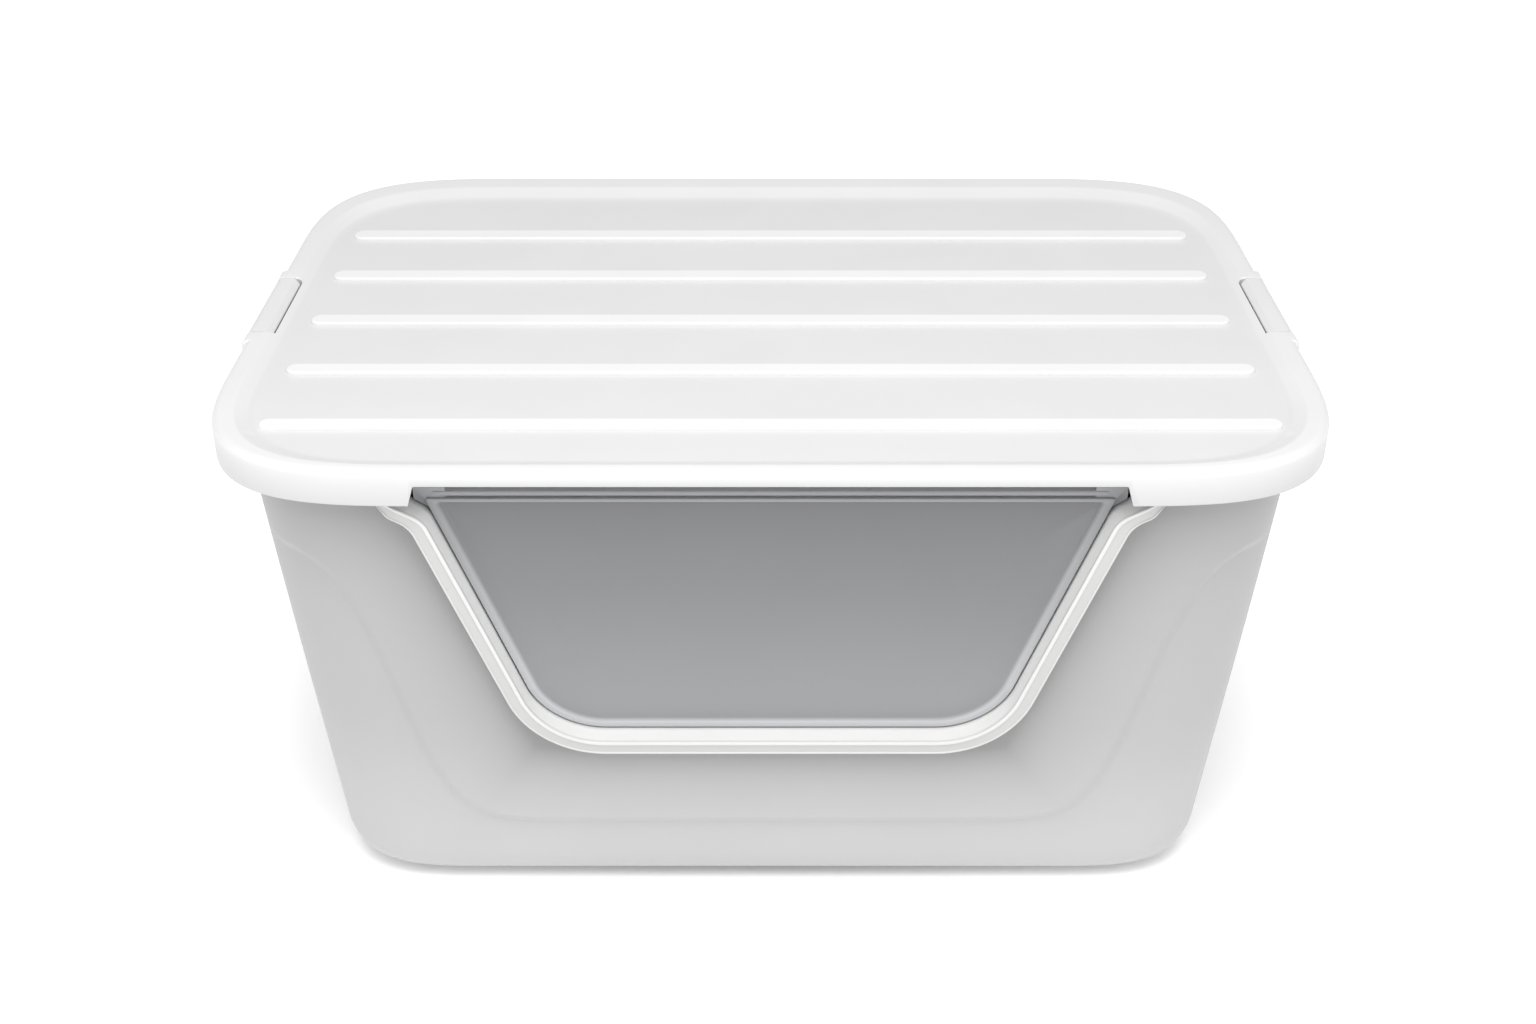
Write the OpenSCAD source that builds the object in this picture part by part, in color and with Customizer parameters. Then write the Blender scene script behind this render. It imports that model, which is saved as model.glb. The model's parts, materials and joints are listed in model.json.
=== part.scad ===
// Hooded litter box: a drafted tub with a front entry, a lift-off lid that works as
// the hood, a two-way entry flap hung on a rod under the lid, and two side latches.
// Millimetres. +X is to the right, +Y to the back, +Z up. The origin is on the floor,
// under the middle of the box. The entry is at the front, towards -Y.

/* [Overall size] */
// Width of the lid, left to right
lid_w = 560; // [530:5:590]
// Depth of the lid, front to back
lid_d = 396; // [380:2:410]
// Height of the closed box, from the floor to the lid's rim
box_h = 283; // [272:1:296]

/* [Tub] */
// Slope of the tub's walls away from upright, in degrees
draft = 5.2; // [4.8:0.1:5.6]
// Thickness of the tub's walls
tub_wall = 2.6; // [2.4:0.1:2.8]
// Thickness of the tub's floor
tub_floor = 3; // [2.8:0.1:4]
// How far the tub's wall stands inside the edge of the lid, just under the skirt
tub_inset = 13.3; // [13:0.1:13.6]
// Radius of the round edge between the tub's floor and walls
bottom_round = 22; // [18:1:26]
// Size of the tub's corners at the floor
corner_low = 77; // [70:1:84]
// Size of the tub's corners under the lid
corner_high = 115; // [105:1:122]

/* [Lid] */
// Thickness of the lid
lid_wall = 2.6; // [2.4:0.1:2.8]
// Height of the lid's skirt
skirt_h = 19; // [18:0.5:20]
// Size of the lid's corners
lid_corner = 121; // [112:1:128]
// Depth of the sunk panel in the top of the lid
panel_drop = 3.6; // [3.2:0.1:3.8]
// Half the width of the notch in the front skirt, at its top
notch_half = 167.6; // [166:0.2:169]
// Height of the notch in the front skirt
notch_h = 10.9; // [10:0.1:11.5]

/* [Lid ribs] */
// Number of raised ribs across the panel
rib_count = 5; // [3:1:5]
// Length of each rib
rib_len = 503; // [440:1:506]
// Distance between ribs
rib_pitch = 62; // [56:1:64]
// Distance from the lid's front edge to the middle of the first rib
rib_first = 53.5; // [50:0.5:56]
// Width of the front rib
rib_w = 10.5; // [8:0.5:12]
// How much wider each rib is than the one in front of it
rib_w_step = 0.8; // [0:0.1:1]
// Height of the ribs above the panel
rib_h = 1.8; // [1:0.1:2.2]

/* [Entry] */
// Height of the entry's sill, along the front wall
sill_v = 113; // [108:1:118]
// Half the width of the entry at its sill, before the corners are rounded
sill_half = 115.8; // [112:0.2:118]
// Lean of the entry's sides away from upright, in degrees
side_lean = 19.3; // [18.9:0.1:19.6]
// Radius of the entry's bottom corners
entry_corner = 42; // [34:1:48]
// Width of the trim's front face
trim_face = 9.8; // [9:0.1:10.4]
// How far the trim's face stands out from the tub's wall
trim_proud = 6; // [5:0.2:6.6]
// Thickness of the trim's walls
trim_wall = 2.2; // [1.8:0.1:2.4]
// How deep the trim's sleeve reaches behind the wall's outer face
trim_depth = 7.5; // [6.5:0.1:7.5]

/* [Flap] */
// Gap between the flap's sides and the trim
flap_gap = 1.2; // [1.1:0.1:2]
// Thickness of the flap's panel
flap_wall = 2.4; // [2.2:0.1:2.6]
// Depth of the panel's front face behind the wall's outer face
flap_back = 4.6; // [4.4:0.1:4.8]
// Width of the raised border around the panel
border_w = 4.6; // [4:0.1:6]
// Height of the raised border
border_h = 1.4; // [0.8:0.1:1.4]
// Radius of the flap's hinge rod
rod_r = 1.5; // [1.4:0.05:1.6]

/* [Latches] */
// Length of each latch along the side of the lid
latch_len = 73; // [66:1:76]
// Where the middle of each latch is, front to back
latch_y = -4.5; // [-8:0.5:0]
// Radius of the pins that the latches turn on
latch_pin_r = 1.5; // [1.4:0.05:1.6]

/* [Feet] */
// Radius of the rubber feet
foot_r = 11; // [9:0.5:13]
// How far the feet hold the tub off the floor
foot_drop = 2; // [1.6:0.1:2.4]

/* [Hidden] */

white = [0.95, 0.95, 0.95];
pale_grey = [0.8, 0.8, 0.8];
flap_grey = [0.56, 0.57, 0.59];
steel = [0.7, 0.71, 0.73];
rubber = [0.25, 0.25, 0.26];

// running clearance of a pin in the piece that turns on it, and in the piece that holds it
run_fit = 0.06;
hold_fit = 0.03;

// --- outlines -------------------------------------------------------------------
// Corners follow |x|^p + |y|^p = 1, fuller than a circle's.
corner_power = 3.3;
corner_steps = 10;
ring_len = 4 * (corner_steps + 1);

function corner_point(q, i, w, d, r) =
    let (t = 90 * (q + i / corner_steps),
         cx = pow(abs(cos(t)), 2 / corner_power),
         cy = pow(abs(sin(t)), 2 / corner_power),
         sx = (q == 0 || q == 3) ? 1 : -1,
         sy = q < 2 ? 1 : -1)
    [sx * (w / 2 - r + r * cx), sy * (d / 2 - r + r * cy)];

// a closed outline w by d with full corners of size r, its middle at y = yc
function outline(w, d, r, yc = 0) =
    [for (q = [0:3]) for (i = [0:corner_steps])
        corner_point(q, i, w, d, r) + [0, yc]];

// the same outline lifted to height z
function ring(w, d, r, z, yc = 0) = [for (p = outline(w, d, r, yc)) [p.x, p.y, z]];

// a closed solid through a list of rings, capped at its first and last ring
module ring_solid(rings) {
    n = ring_len;
    last = len(rings) - 1;
    skin = [for (k = [0:last - 1]) for (i = [0:n - 1])
        let (j = (i + 1) % n, a = k * n, b = (k + 1) * n)
        each [[a + i, b + i, b + j], [a + i, b + j, a + j]]];
    caps = [[for (i = [0:n - 1]) i], [for (i = [n - 1:-1:0]) last * n + i]];
    polyhedron(points = [for (r = rings) each r], faces = concat(skin, caps));
}

// a path's corner at b rounded to radius r: the points of an arc that touches ab and bc
function fillet(a, b, c, r, steps) =
    let (u = (a - b) / norm(a - b), v = (c - b) / norm(c - b),
         half = acos(u * v) / 2, turn = 180 - 2 * half,
         mid = (u + v) / norm(u + v), o = b + mid * r / sin(half),
         side = cross(u, v) > 0 ? -1 : 1, from = b + u * r / tan(half) - o,
         start = atan2(from.y, from.x))
    r < 0.1 ? [b] : [for (i = [0:steps])
        let (at = start + side * turn * i / steps) o + r * [cos(at), sin(at)]];

// an open path through p, its inner corners rounded; each point is [x, y, radius]
function rounded(p, steps = 8) =
    let (at = [for (q = p) [q.x, q.y]], n = len(p))
    [at[0], for (i = [1:n - 2]) each fillet(at[i - 1], at[i], at[i + 1], p[i].z, steps), at[n - 1]];

function backwards(path) = [for (i = [len(path) - 1:-1:0]) path[i]];
// a whole path from its right half, which starts on the middle line
function across(half) =
    concat([for (i = [len(half) - 1:-1:1]) [-half[i].x, half[i].y]], half);

// --- tub ------------------------------------------------------------------------
skirt_z = box_h - skirt_h;
grow = tan(draft);
base_w = lid_w - 2 * tub_inset - 2 * skirt_z * grow;
base_d = lid_d - 2 * tub_inset - 2 * skirt_z * grow;
// top of the tub's rim, on which the lid rests
rim_z = box_h - 7.2;
// the rim turns outwards into a lip: its thickness, its reach and its height
rim_wall = 2.6;
lip_out = 6.8;
lip_h = 8;

// the tub's outline at height z, moved outwards by out
function tub_ring(z, out) =
    ring(base_w + 2 * (z * grow + out), base_d + 2 * (z * grow + out),
         corner_low + (corner_high - corner_low) * z / skirt_z + out, z);
// the round lower edge, with the wall's face at out
function tub_round(z0, r, out) =
    [for (a = [0:22.5:90]) tub_ring(z0 + r * (1 - cos(a)), out - r * (1 - sin(a)))];

// --- front wall -----------------------------------------------------------------
// Pieces on the front wall are drawn flat, x across and v up along the wall, and rise
// along the wall's outward normal n, with n = 0 on the wall's outer face.
module on_front_wall(n) {
    translate([0, -base_d / 2, 0]) rotate([90 + draft, 0, 0]) translate([0, 0, n]) children();
}
function wall_y(v, n) = -base_d / 2 - v * sin(draft) - n * cos(draft);
function wall_z(v, n) = v * cos(draft) - n * sin(draft);

// The entry's side at height v. out moves an outline outwards from the trim's inside face.
lean_step = tan(side_lean);
function side_x(v, out) = sill_half + (v - sill_v) * lean_step + out / cos(side_lean);
// where the sides flare outwards under the lid, and how far the flare runs and rises
flare_v = 252;
flare_run = 20;
flare_rise = 12.5;
// half the entry's outline, from the middle of the sill to the end of the flare
function entry_half(out, flare_r) =
    let (v0 = sill_v - out, v1 = flare_v - 0.5 * out, x1 = side_x(v1, out))
    rounded([[0, v0, 0], [side_x(v0, out), v0, entry_corner + out], [x1, v1, flare_r],
             [x1 + flare_run - out, v1 + flare_rise - 0.4 * out, 0]]);
trim_inner = entry_half(0, 18);
trim_outer = entry_half(trim_face, 12);
sleeve_outer = entry_half(trim_wall, 17);
return_inner = entry_half(trim_face - trim_wall, 13);
// the hole in the tub leaves room for the trim's sleeve, and opens through the rim
cut_gap = 0.15;
cut_end_gap = 0.8;
cut_half = entry_half(trim_wall + cut_gap, 17);
cut_top = 300;
cut_reach = 20;
// the trim's face turns back to the wall, and stops this far short of it
face_gap = 0.05;
// snap tabs on the trim's sleeve: width, reach, thickness, and where they are up the sides
// and across the sill
tab_w = 14;
tab_reach = 2;
tab_t = 1.8;
tab_v = [150, 200, 236];
tab_x = [-60, 0, 60];

// --- flap and hinge -------------------------------------------------------------
// The rod is behind the flap's panel, so that the flap hangs along the sloping wall.
rod_v = 266;
rod_n = -11.7;
rod_y = wall_y(rod_v, rod_n);
rod_z = wall_z(rod_v, rod_n);
barrel_r = 3.2;
// half the length of the barrel, and the lugs at its ends that carry the rod
flap_half = 171.5;
lug_gap = 0.7;
lug_t = 4;
lug_r = 4;
// a cap on each end of the rod, bored part of the way through
cap_gap = 0.1;
cap_len = 3;
cap_bore_len = 2.4;
cap_start = flap_half + lug_gap + lug_t + cap_gap;
rod_len = 2 * (cap_start + cap_bore_len - cap_gap);
// the panel's top, its gap above the sill, and the top of the field inside its border
flap_top_v = 259.6;
flap_sill_gap = 1.5;
border_top_v = 257.6;
// the set-back strip along the top: its foot, the knee where it turns outwards over the
// trim's flare, the underside of its ears, and its gap to the line of the entry's sides
head_v = 246;
head_knee_v = 252.5;
head_ear_v = 258.8;
head_gap = 2.2;

// --- lid ------------------------------------------------------------------------
panel_z = box_h - panel_drop;
lid_under = box_h - lid_wall;
panel_under = panel_z - lid_wall;
skirt_t = 2.8;
// the sunk panel and the inner edge of the flat rim, as [width, depth, corner, middle]
panel_low = [lid_w - 38, lid_d - 45, lid_corner - 20, -6.5];
panel_high = [lid_w - 20, lid_d - 23, lid_corner - 10, -5.5];
// how far along the step between them its rings are, and how far it bows out of straight
step_at = [0.15, 0.5, 0.85];
step_bow = 0.5;
// the lid's round top edge, as [inset, drop] from its outermost edge
edge_round = [[4, 0], [1.2, 1.2], [0, 4]];
// the bead under the lid, which rests on the tub's rim and stops short of the lugs
bead_in = 12.4;
bead_out = 10;
bead_end = flap_half + 14;
// how far the notch's ends lean out for each millimetre down, and how deep it is cut
notch_lean = 0.3;
notch_cut_t = 8.5;

function lid_ring(z, in) = ring(lid_w - 2 * in, lid_d - 2 * in, lid_corner - in, z);
function panel_ring(p, z, in) = ring(p[0] - 2 * in, p[1] - 2 * in, p[2] - in, z, p[3]);
function between(a, b, t) = a + (b - a) * t;

// --- latches --------------------------------------------------------------------
// the right-hand latch's axis; the left-hand one is its mirror image
latch_x = lid_w / 2 - 0.3;
latch_z = box_h - 5.8;
latch_barrel_r = 2.9;
// the pocket's inner wall, and the ears at its ends that hold the pin
pocket_in = 13.8;
pocket_out = 16.2;
ear_len = 11;
ear_gap = 0.5;
ear_r = 3.2;
ear_w = 5.6;
ear_h = 4.6;
pin_len = latch_len + 2 * ear_gap + 2 * ear_len - 2;
// the plate over the rim: its reach inwards, its underside and its top, from the axis
plate_reach = 12.4;
plate_low = 2.1;
plate_high = 4;
plate_crown = 4.9;
// the leg beside the skirt: its thickness, its length, and the tab along its foot
leg_t = 2.5;
leg_len = 14.5;
tab_drop = 21.4;
tab_out = 4.9;
// the bead on the leg, which closes against the face of the tub's lip
lip_x = base_w / 2 + rim_z * grow + lip_out;
latch_bead_gap = 0.25;
latch_bead_len = 40;
latch_bead_v = -11;
latch_bead_h = 3.6;

foot_x = 178;
foot_y = 104;
foot_sink = 1.5;

module tub() {
    outer = concat(
        tub_round(foot_drop, bottom_round, 0),
        [tub_ring(rim_z - rim_wall, 0),
         tub_ring(rim_z - rim_wall, lip_out - rim_wall),
         tub_ring(rim_z - lip_h, lip_out - rim_wall),
         tub_ring(rim_z - lip_h, lip_out),
         tub_ring(rim_z, lip_out)]);
    inner = tub_round(foot_drop + tub_floor, bottom_round - tub_wall, -tub_wall);
    color(pale_grey) difference() {
        ring_solid(concat(outer, [tub_ring(rim_z, -tub_wall)], backwards(inner)));
        on_front_wall(-cut_reach) linear_extrude(2 * cut_reach) entry_cut();
        for (x = [-foot_x, foot_x], y = [-foot_y, foot_y])
            translate([x, y, foot_drop - 1])
                cylinder(r = foot_r + hold_fit, h = foot_sink + 1, $fn = 48);
    }
}

// the hole for the trim's sleeve, with a little more room past the ends of its flare
module entry_cut() {
    end = cut_half[len(cut_half) - 1] + [cut_end_gap, 0];
    polygon(across(concat(cut_half, [end, [end.x, cut_top]])));
}

// the band between two half outlines, both sides of the middle
module band(inside, outside) {
    polygon(concat(across(inside), backwards(across(outside))));
}

module entry_trim() {
    color(white) union() {
        on_front_wall(-trim_depth) linear_extrude(trim_depth + trim_proud)
            band(trim_inner, sleeve_outer);
        on_front_wall(trim_proud - trim_wall) linear_extrude(trim_wall)
            band(trim_inner, trim_outer);
        on_front_wall(face_gap) linear_extrude(trim_proud - face_gap)
            band(return_inner, trim_outer);
        trim_tabs();
    }
}

// snap tabs on the sleeve, behind the tub's wall
module trim_tabs() {
    behind = -tub_wall - cut_gap - tab_t;
    on_front_wall(behind) linear_extrude(tab_t) {
        for (x = tab_x)
            translate([x - tab_w / 2, sill_v - trim_wall - tab_reach])
                square([tab_w, tab_reach + trim_wall / 2]);
        for (v = tab_v, s = [-1, 1])
            translate([s * side_x(v, trim_wall / 2), v]) rotate(-s * side_lean)
                translate([s > 0 ? 0 : -tab_reach - trim_wall / 2, -tab_w / 2])
                    square([tab_reach + trim_wall / 2, tab_w]);
    }
}

// outline of the flap's plate, moved in by inset, with its top edge at v_top
module flap_plate(inset, v_top) {
    v0 = sill_v + flap_sill_gap + inset;
    out = -flap_gap - inset;
    half = rounded([[0, v0, 0], [side_x(v0, out), v0, entry_corner + out],
                    [side_x(v_top, out), v_top, 0]]);
    polygon(across(half));
}

module flap() {
    color(flap_grey) difference() {
        union() {
            on_front_wall(-flap_back - flap_wall) linear_extrude(flap_wall)
                flap_plate(0, flap_top_v);
            on_front_wall(-flap_back) linear_extrude(border_h) difference() {
                flap_plate(0, flap_top_v);
                flap_plate(border_w, border_top_v);
            }
            on_front_wall(-flap_back - 2 * flap_wall) linear_extrude(flap_wall) flap_head();
            on_front_wall(0) translate([-flap_half, rod_v, rod_n]) rotate([0, 90, 0])
                cylinder(r = barrel_r, h = 2 * flap_half, $fn = 48);
        }
        on_front_wall(0) translate([-flap_half - 1, rod_v, rod_n]) rotate([0, 90, 0])
            cylinder(r = rod_r + run_fit, h = 2 * flap_half + 2, $fn = 48);
    }
}

// the set-back strip along the flap's top, with an ear at each end over the trim's flare
module flap_head() {
    foot = [side_x(head_v, -head_gap), head_v];
    knee = [side_x(head_knee_v, -head_gap), head_knee_v];
    polygon(across([[0, head_v], foot, knee, [flap_half, head_ear_v], [flap_half, rod_v]]));
}

module flap_rod() {
    color(steel) translate([-rod_len / 2, rod_y, rod_z]) rotate([0, 90, 0])
        cylinder(r = rod_r, h = rod_len, $fn = 48);
}

// a push-on cap that keeps the rod in its lug; side is -1 for left, 1 for right
module rod_cap(side) {
    color(white) translate([0, rod_y, rod_z]) rotate([0, side * 90, 0])
        translate([0, 0, cap_start]) difference() {
            cylinder(r = 2 * rod_r, h = cap_len, $fn = 48);
            translate([0, 0, -1]) cylinder(r = rod_r + hold_fit, h = cap_bore_len + 1, $fn = 48);
        }
}

module left_rod_cap() rod_cap(-1);
module right_rod_cap() rod_cap(1);

module lid() {
    color(white) difference() {
        union() {
            difference() {
                lid_shell();
                notch_cut();
                for (side = [-1, 1]) latch_pocket(side);
            }
            lid_ribs();
            for (side = [-1, 1]) {
                hinge_lug(side);
                latch_ears(side);
            }
        }
        rod_bore();
        for (side = [-1, 1]) latch_bore(side);
    }
}

// skirt, round edge, flat rim, soft step and sunk panel, with the bead below
module lid_shell() {
    low = panel_ring(panel_low, panel_z, 0);
    high = panel_ring(panel_high, box_h, 0);
    step = [for (t = step_at) [for (i = [0:ring_len - 1])
        between(low[i], high[i], t) + [0, 0, (t - 0.5) * step_bow]]];
    edge = [for (e = edge_round) lid_ring(box_h - e[1], e[0])];
    under = [lid_ring(skirt_z, skirt_t), lid_ring(lid_under, skirt_t),
             panel_ring(panel_high, lid_under, 1), panel_ring(panel_low, panel_under, 1)];
    // the rings run from the panel outwards and back under it, so they are taken backwards
    ring_solid(backwards(concat([low], step, [high], edge, [lid_ring(skirt_z, 0)], under)));
    translate([0, 0, rim_z]) linear_extrude(lid_under - rim_z + 0.2) difference() {
        polygon(outline(lid_w - 2 * bead_out, lid_d - 2 * bead_out, lid_corner - bead_out));
        polygon(outline(lid_w - 2 * bead_in, lid_d - 2 * bead_in, lid_corner - bead_in));
        translate([-bead_end, -lid_d]) square([2 * bead_end, lid_d]);
    }
}

module notch_cut() {
    foot = -1;
    foot_half = notch_half + notch_lean * (notch_h - foot);
    translate([0, -lid_d / 2 + skirt_t + 0.7, skirt_z]) rotate([90, 0, 0])
        linear_extrude(notch_cut_t)
            polygon([[-foot_half, foot], [foot_half, foot],
                     [notch_half, notch_h], [-notch_half, notch_h]]);
}

module lid_ribs() {
    for (i = [0:rib_count - 1]) {
        w = rib_w + i * rib_w_step;
        translate([0, -lid_d / 2 + rib_first + i * rib_pitch, panel_z - 1])
            linear_extrude(rib_h + 1) {
                square([rib_len - w, w], center = true);
                for (s = [-1, 1]) translate([s * (rib_len - w) / 2, 0]) circle(d = w, $fn = 40);
            }
    }
}

// a lug under the lid that carries one end of the flap's rod
module hinge_lug(side) {
    inner = flap_half + lug_gap;
    translate([side > 0 ? inner : -inner - lug_t, rod_y, rod_z]) {
        rotate([0, 90, 0]) cylinder(r = lug_r, h = lug_t, $fn = 48);
        translate([0, -lug_r, 0]) cube([lug_t, 2 * lug_r, panel_under - rod_z + 0.5]);
    }
}

module rod_bore() {
    translate([-rod_len / 2 - 5, rod_y, rod_z]) rotate([0, 90, 0])
        cylinder(r = rod_r + hold_fit, h = rod_len + 10, $fn = 48);
}

// the opening in the rim and skirt that the latch sits in
module latch_pocket(side) {
    middle = lid_w / 2 + (pocket_out - pocket_in) / 2;
    translate([side * middle, latch_y, skirt_z - 1 + (skirt_h + 5) / 2])
        cube([pocket_in + pocket_out, latch_len + 2 * ear_gap, skirt_h + 5], center = true);
}

// raised blocks at both ends of the pocket that hold the latch's pin
module latch_ears(side) {
    for (end = [-1, 1])
        translate([side * latch_x, latch_y + end * (latch_len / 2 + ear_gap + ear_len / 2), 0])
            rotate([90, 0, 0]) {
                translate([0, latch_z, 0])
                    cylinder(r = ear_r, h = ear_len, center = true, $fn = 48);
                translate([0, latch_z + ear_h / 2, 0])
                    cube([ear_w, ear_h, ear_len], center = true);
            }
}

module latch_bore(side) {
    translate([side * latch_x, latch_y, latch_z]) rotate([90, 0, 0])
        cylinder(r = latch_pin_r + hold_fit, h = pin_len + 0.4, center = true, $fn = 48);
}

// right-hand latch in section, with the axis at the origin: plate inwards, leg down
module latch_section() {
    foot = leg_t - 2;
    circle(r = latch_barrel_r, $fn = 48);
    polygon([[-plate_reach, plate_low], [-plate_reach, plate_high], [0.8, plate_crown],
             [2.2, plate_high + 0.1], [latch_barrel_r, plate_low], [latch_barrel_r, 0],
             [leg_t, -leg_len], [tab_out, -tab_drop + 0.9], [tab_out - 1.5, -tab_drop],
             [foot, -leg_len - 1], [0.2, 0], [0, 1.2]]);
}

// the bead on the inside of the leg, which closes against the tub's lip
module latch_bead_section() {
    face = lip_x + latch_bead_gap - latch_x;
    root = 1;
    half = latch_bead_h / 2;
    translate([0, latch_bead_v])
        polygon([[face, 0], [face + 1, 0.65 * half], [root, half], [root, -half],
                 [face + 1, -0.65 * half]]);
}

module latch(side) {
    color(white) mirror([side > 0 ? 0 : 1, 0, 0])
        translate([latch_x, latch_y, latch_z]) rotate([90, 0, 0]) difference() {
            union() {
                linear_extrude(latch_len, center = true) latch_section();
                linear_extrude(latch_bead_len, center = true) latch_bead_section();
            }
            cylinder(r = latch_pin_r + run_fit, h = latch_len + 2, center = true, $fn = 48);
        }
}

module latch_pin(side) {
    color(steel) translate([side * latch_x, latch_y, latch_z]) rotate([90, 0, 0])
        cylinder(r = latch_pin_r, h = pin_len, center = true, $fn = 48);
}

module left_latch() latch(-1);
module right_latch() latch(1);
module left_latch_pin() latch_pin(-1);
module right_latch_pin() latch_pin(1);

module foot(x, y) {
    color(rubber) translate([x, y, 0])
        cylinder(r = foot_r, h = foot_drop + foot_sink, $fn = 48);
}

module foot_front_left() foot(-foot_x, -foot_y);
module foot_front_right() foot(foot_x, -foot_y);
module foot_back_left() foot(-foot_x, foot_y);
module foot_back_right() foot(foot_x, foot_y);

tub();
entry_trim();
lid();
flap();
flap_rod();
left_rod_cap();
right_rod_cap();
left_latch();
right_latch();
left_latch_pin();
right_latch_pin();
foot_front_left();
foot_front_right();
foot_back_left();
foot_back_right();
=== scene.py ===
"""Looks of a hooded litter box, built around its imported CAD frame.

Sizes are in millimetres and become metres when a mesh is made. +X is to the right, +Y to
the back and +Z up; the entry faces -Y. Each sub-assembly is a class whose fields are its
sizes. Its meshes are surfaces worked out with numpy: rings of points swept along a profile.
"""

from __future__ import annotations

import json
import logging
import math
from dataclasses import dataclass, field
from enum import Enum
from typing import Any, Callable, Iterable

import bpy
import numpy as np
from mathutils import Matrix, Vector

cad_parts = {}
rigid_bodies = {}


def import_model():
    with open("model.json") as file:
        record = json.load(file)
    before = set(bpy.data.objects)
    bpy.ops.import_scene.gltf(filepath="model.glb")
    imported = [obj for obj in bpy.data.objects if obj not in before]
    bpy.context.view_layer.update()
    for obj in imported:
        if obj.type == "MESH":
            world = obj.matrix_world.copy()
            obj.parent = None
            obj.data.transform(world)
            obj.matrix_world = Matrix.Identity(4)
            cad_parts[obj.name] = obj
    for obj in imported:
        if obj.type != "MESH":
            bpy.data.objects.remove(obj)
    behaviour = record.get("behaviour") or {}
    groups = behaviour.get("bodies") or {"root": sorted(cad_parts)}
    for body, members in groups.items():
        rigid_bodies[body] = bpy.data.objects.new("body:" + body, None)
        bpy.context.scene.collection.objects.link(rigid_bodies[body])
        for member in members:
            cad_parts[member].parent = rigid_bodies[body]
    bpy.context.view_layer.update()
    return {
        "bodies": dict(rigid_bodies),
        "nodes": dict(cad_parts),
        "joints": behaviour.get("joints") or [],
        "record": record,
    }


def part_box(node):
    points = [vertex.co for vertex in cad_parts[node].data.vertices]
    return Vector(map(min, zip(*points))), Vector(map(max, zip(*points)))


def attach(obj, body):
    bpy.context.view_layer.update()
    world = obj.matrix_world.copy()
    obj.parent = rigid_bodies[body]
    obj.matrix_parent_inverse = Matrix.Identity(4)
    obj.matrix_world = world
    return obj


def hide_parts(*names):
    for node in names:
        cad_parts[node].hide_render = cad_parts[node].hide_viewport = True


Array = np.ndarray
Place = Callable[[Array, float], Array]
MM = 0.001
DRAFT_DEG = 5.2
LOG = logging.getLogger("litter_box")


class Join(Enum):
    """How a surface is combined with a piece."""

    CUT = "DIFFERENCE"
    ADD = "UNION"


class Side(Enum):
    """The two mirrored sides of the box."""

    LEFT = -1
    RIGHT = 1

    @property
    def word(self) -> str:
        """The side's name in lower case."""
        return self.name.lower()


# --- surfaces ---------------------------------------------------------------------------


@dataclass
class Surface:
    """A closed surface in millimetres: points, four-sided faces and many-sided caps."""

    points: Array
    quads: Array
    caps: list[Array] = field(default_factory=list)

    def volume(self) -> float:
        """Six times the enclosed volume, by summing each triangle's signed tetrahedron.

        Returns:
            The sum, below zero when the faces point inwards.
        """
        fans = [np.stack([np.full(len(c) - 2, c[0]), c[1:-1], c[2:]], 1) for c in self.caps]
        triangles = np.concatenate([self.quads[:, [0, 1, 2]], self.quads[:, [0, 2, 3]], *fans])
        a, b, c = (self.points[triangles[:, k]] for k in range(3))
        return float(np.einsum("ij,ij->i", a, np.cross(b, c)).sum())

    def outward(self) -> Surface:
        """The same surface with its faces pointing outwards."""
        if self.volume() >= 0:
            return self
        return Surface(self.points, self.quads[:, ::-1], [c[::-1] for c in self.caps])

    @staticmethod
    def together(surfaces: Iterable[Surface]) -> Surface:
        """Several separate surfaces as one, with their indices shifted to suit.

        Args:
            surfaces: The surfaces to join, each closed by itself.

        Returns:
            The one surface.
        """
        parts = [s.outward() for s in surfaces]
        starts = np.cumsum([0] + [len(s.points) for s in parts[:-1]])
        return Surface(
            np.concatenate([s.points for s in parts]),
            np.concatenate([s.quads + k for s, k in zip(parts, starts)]),
            [c + k for s, k in zip(parts, starts) for c in s.caps],
        )

    def piece(self, name: str) -> bpy.types.Object:
        """A Blender object made of this surface, in metres, with outward faces.

        Args:
            name: The object's name.

        Returns:
            The object, linked to the scene at the origin.
        """
        good = self.outward()
        mesh = bpy.data.meshes.new(name)
        faces = good.quads.tolist() + [c.tolist() for c in good.caps]
        mesh.from_pydata((good.points * MM).tolist(), [], faces)
        mesh.validate()
        piece = bpy.data.objects.new(name, mesh)
        bpy.context.scene.collection.objects.link(piece)
        return piece


def skin(rings: Array, loop: bool = False) -> Surface:
    """A closed surface through rings of points.

    Ring k is one closed loop, and each quad joins two neighbours of ring k to the same two
    of ring k + 1. The first and last ring are capped, or joined to each other in a loop.

    Args:
        rings: Points, as rings x points in a ring x 3.
        loop: Whether the last ring joins the first.

    Returns:
        The surface.
    """
    count, n = rings.shape[:2]
    rows = np.arange(count if loop else count - 1)[:, None]
    columns = np.arange(n)[None, :]
    above, beside = (rows + 1) % count, (columns + 1) % n
    corners = [rows * n + columns, rows * n + beside, above * n + beside, above * n + columns]
    quads = np.stack([np.broadcast_to(c, (len(rows), n)) for c in corners], -1).reshape(-1, 4)
    caps = [] if loop else [np.arange(n)[::-1], (count - 1) * n + np.arange(n)]
    return Surface(rings.reshape(-1, 3), quads, caps)


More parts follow.
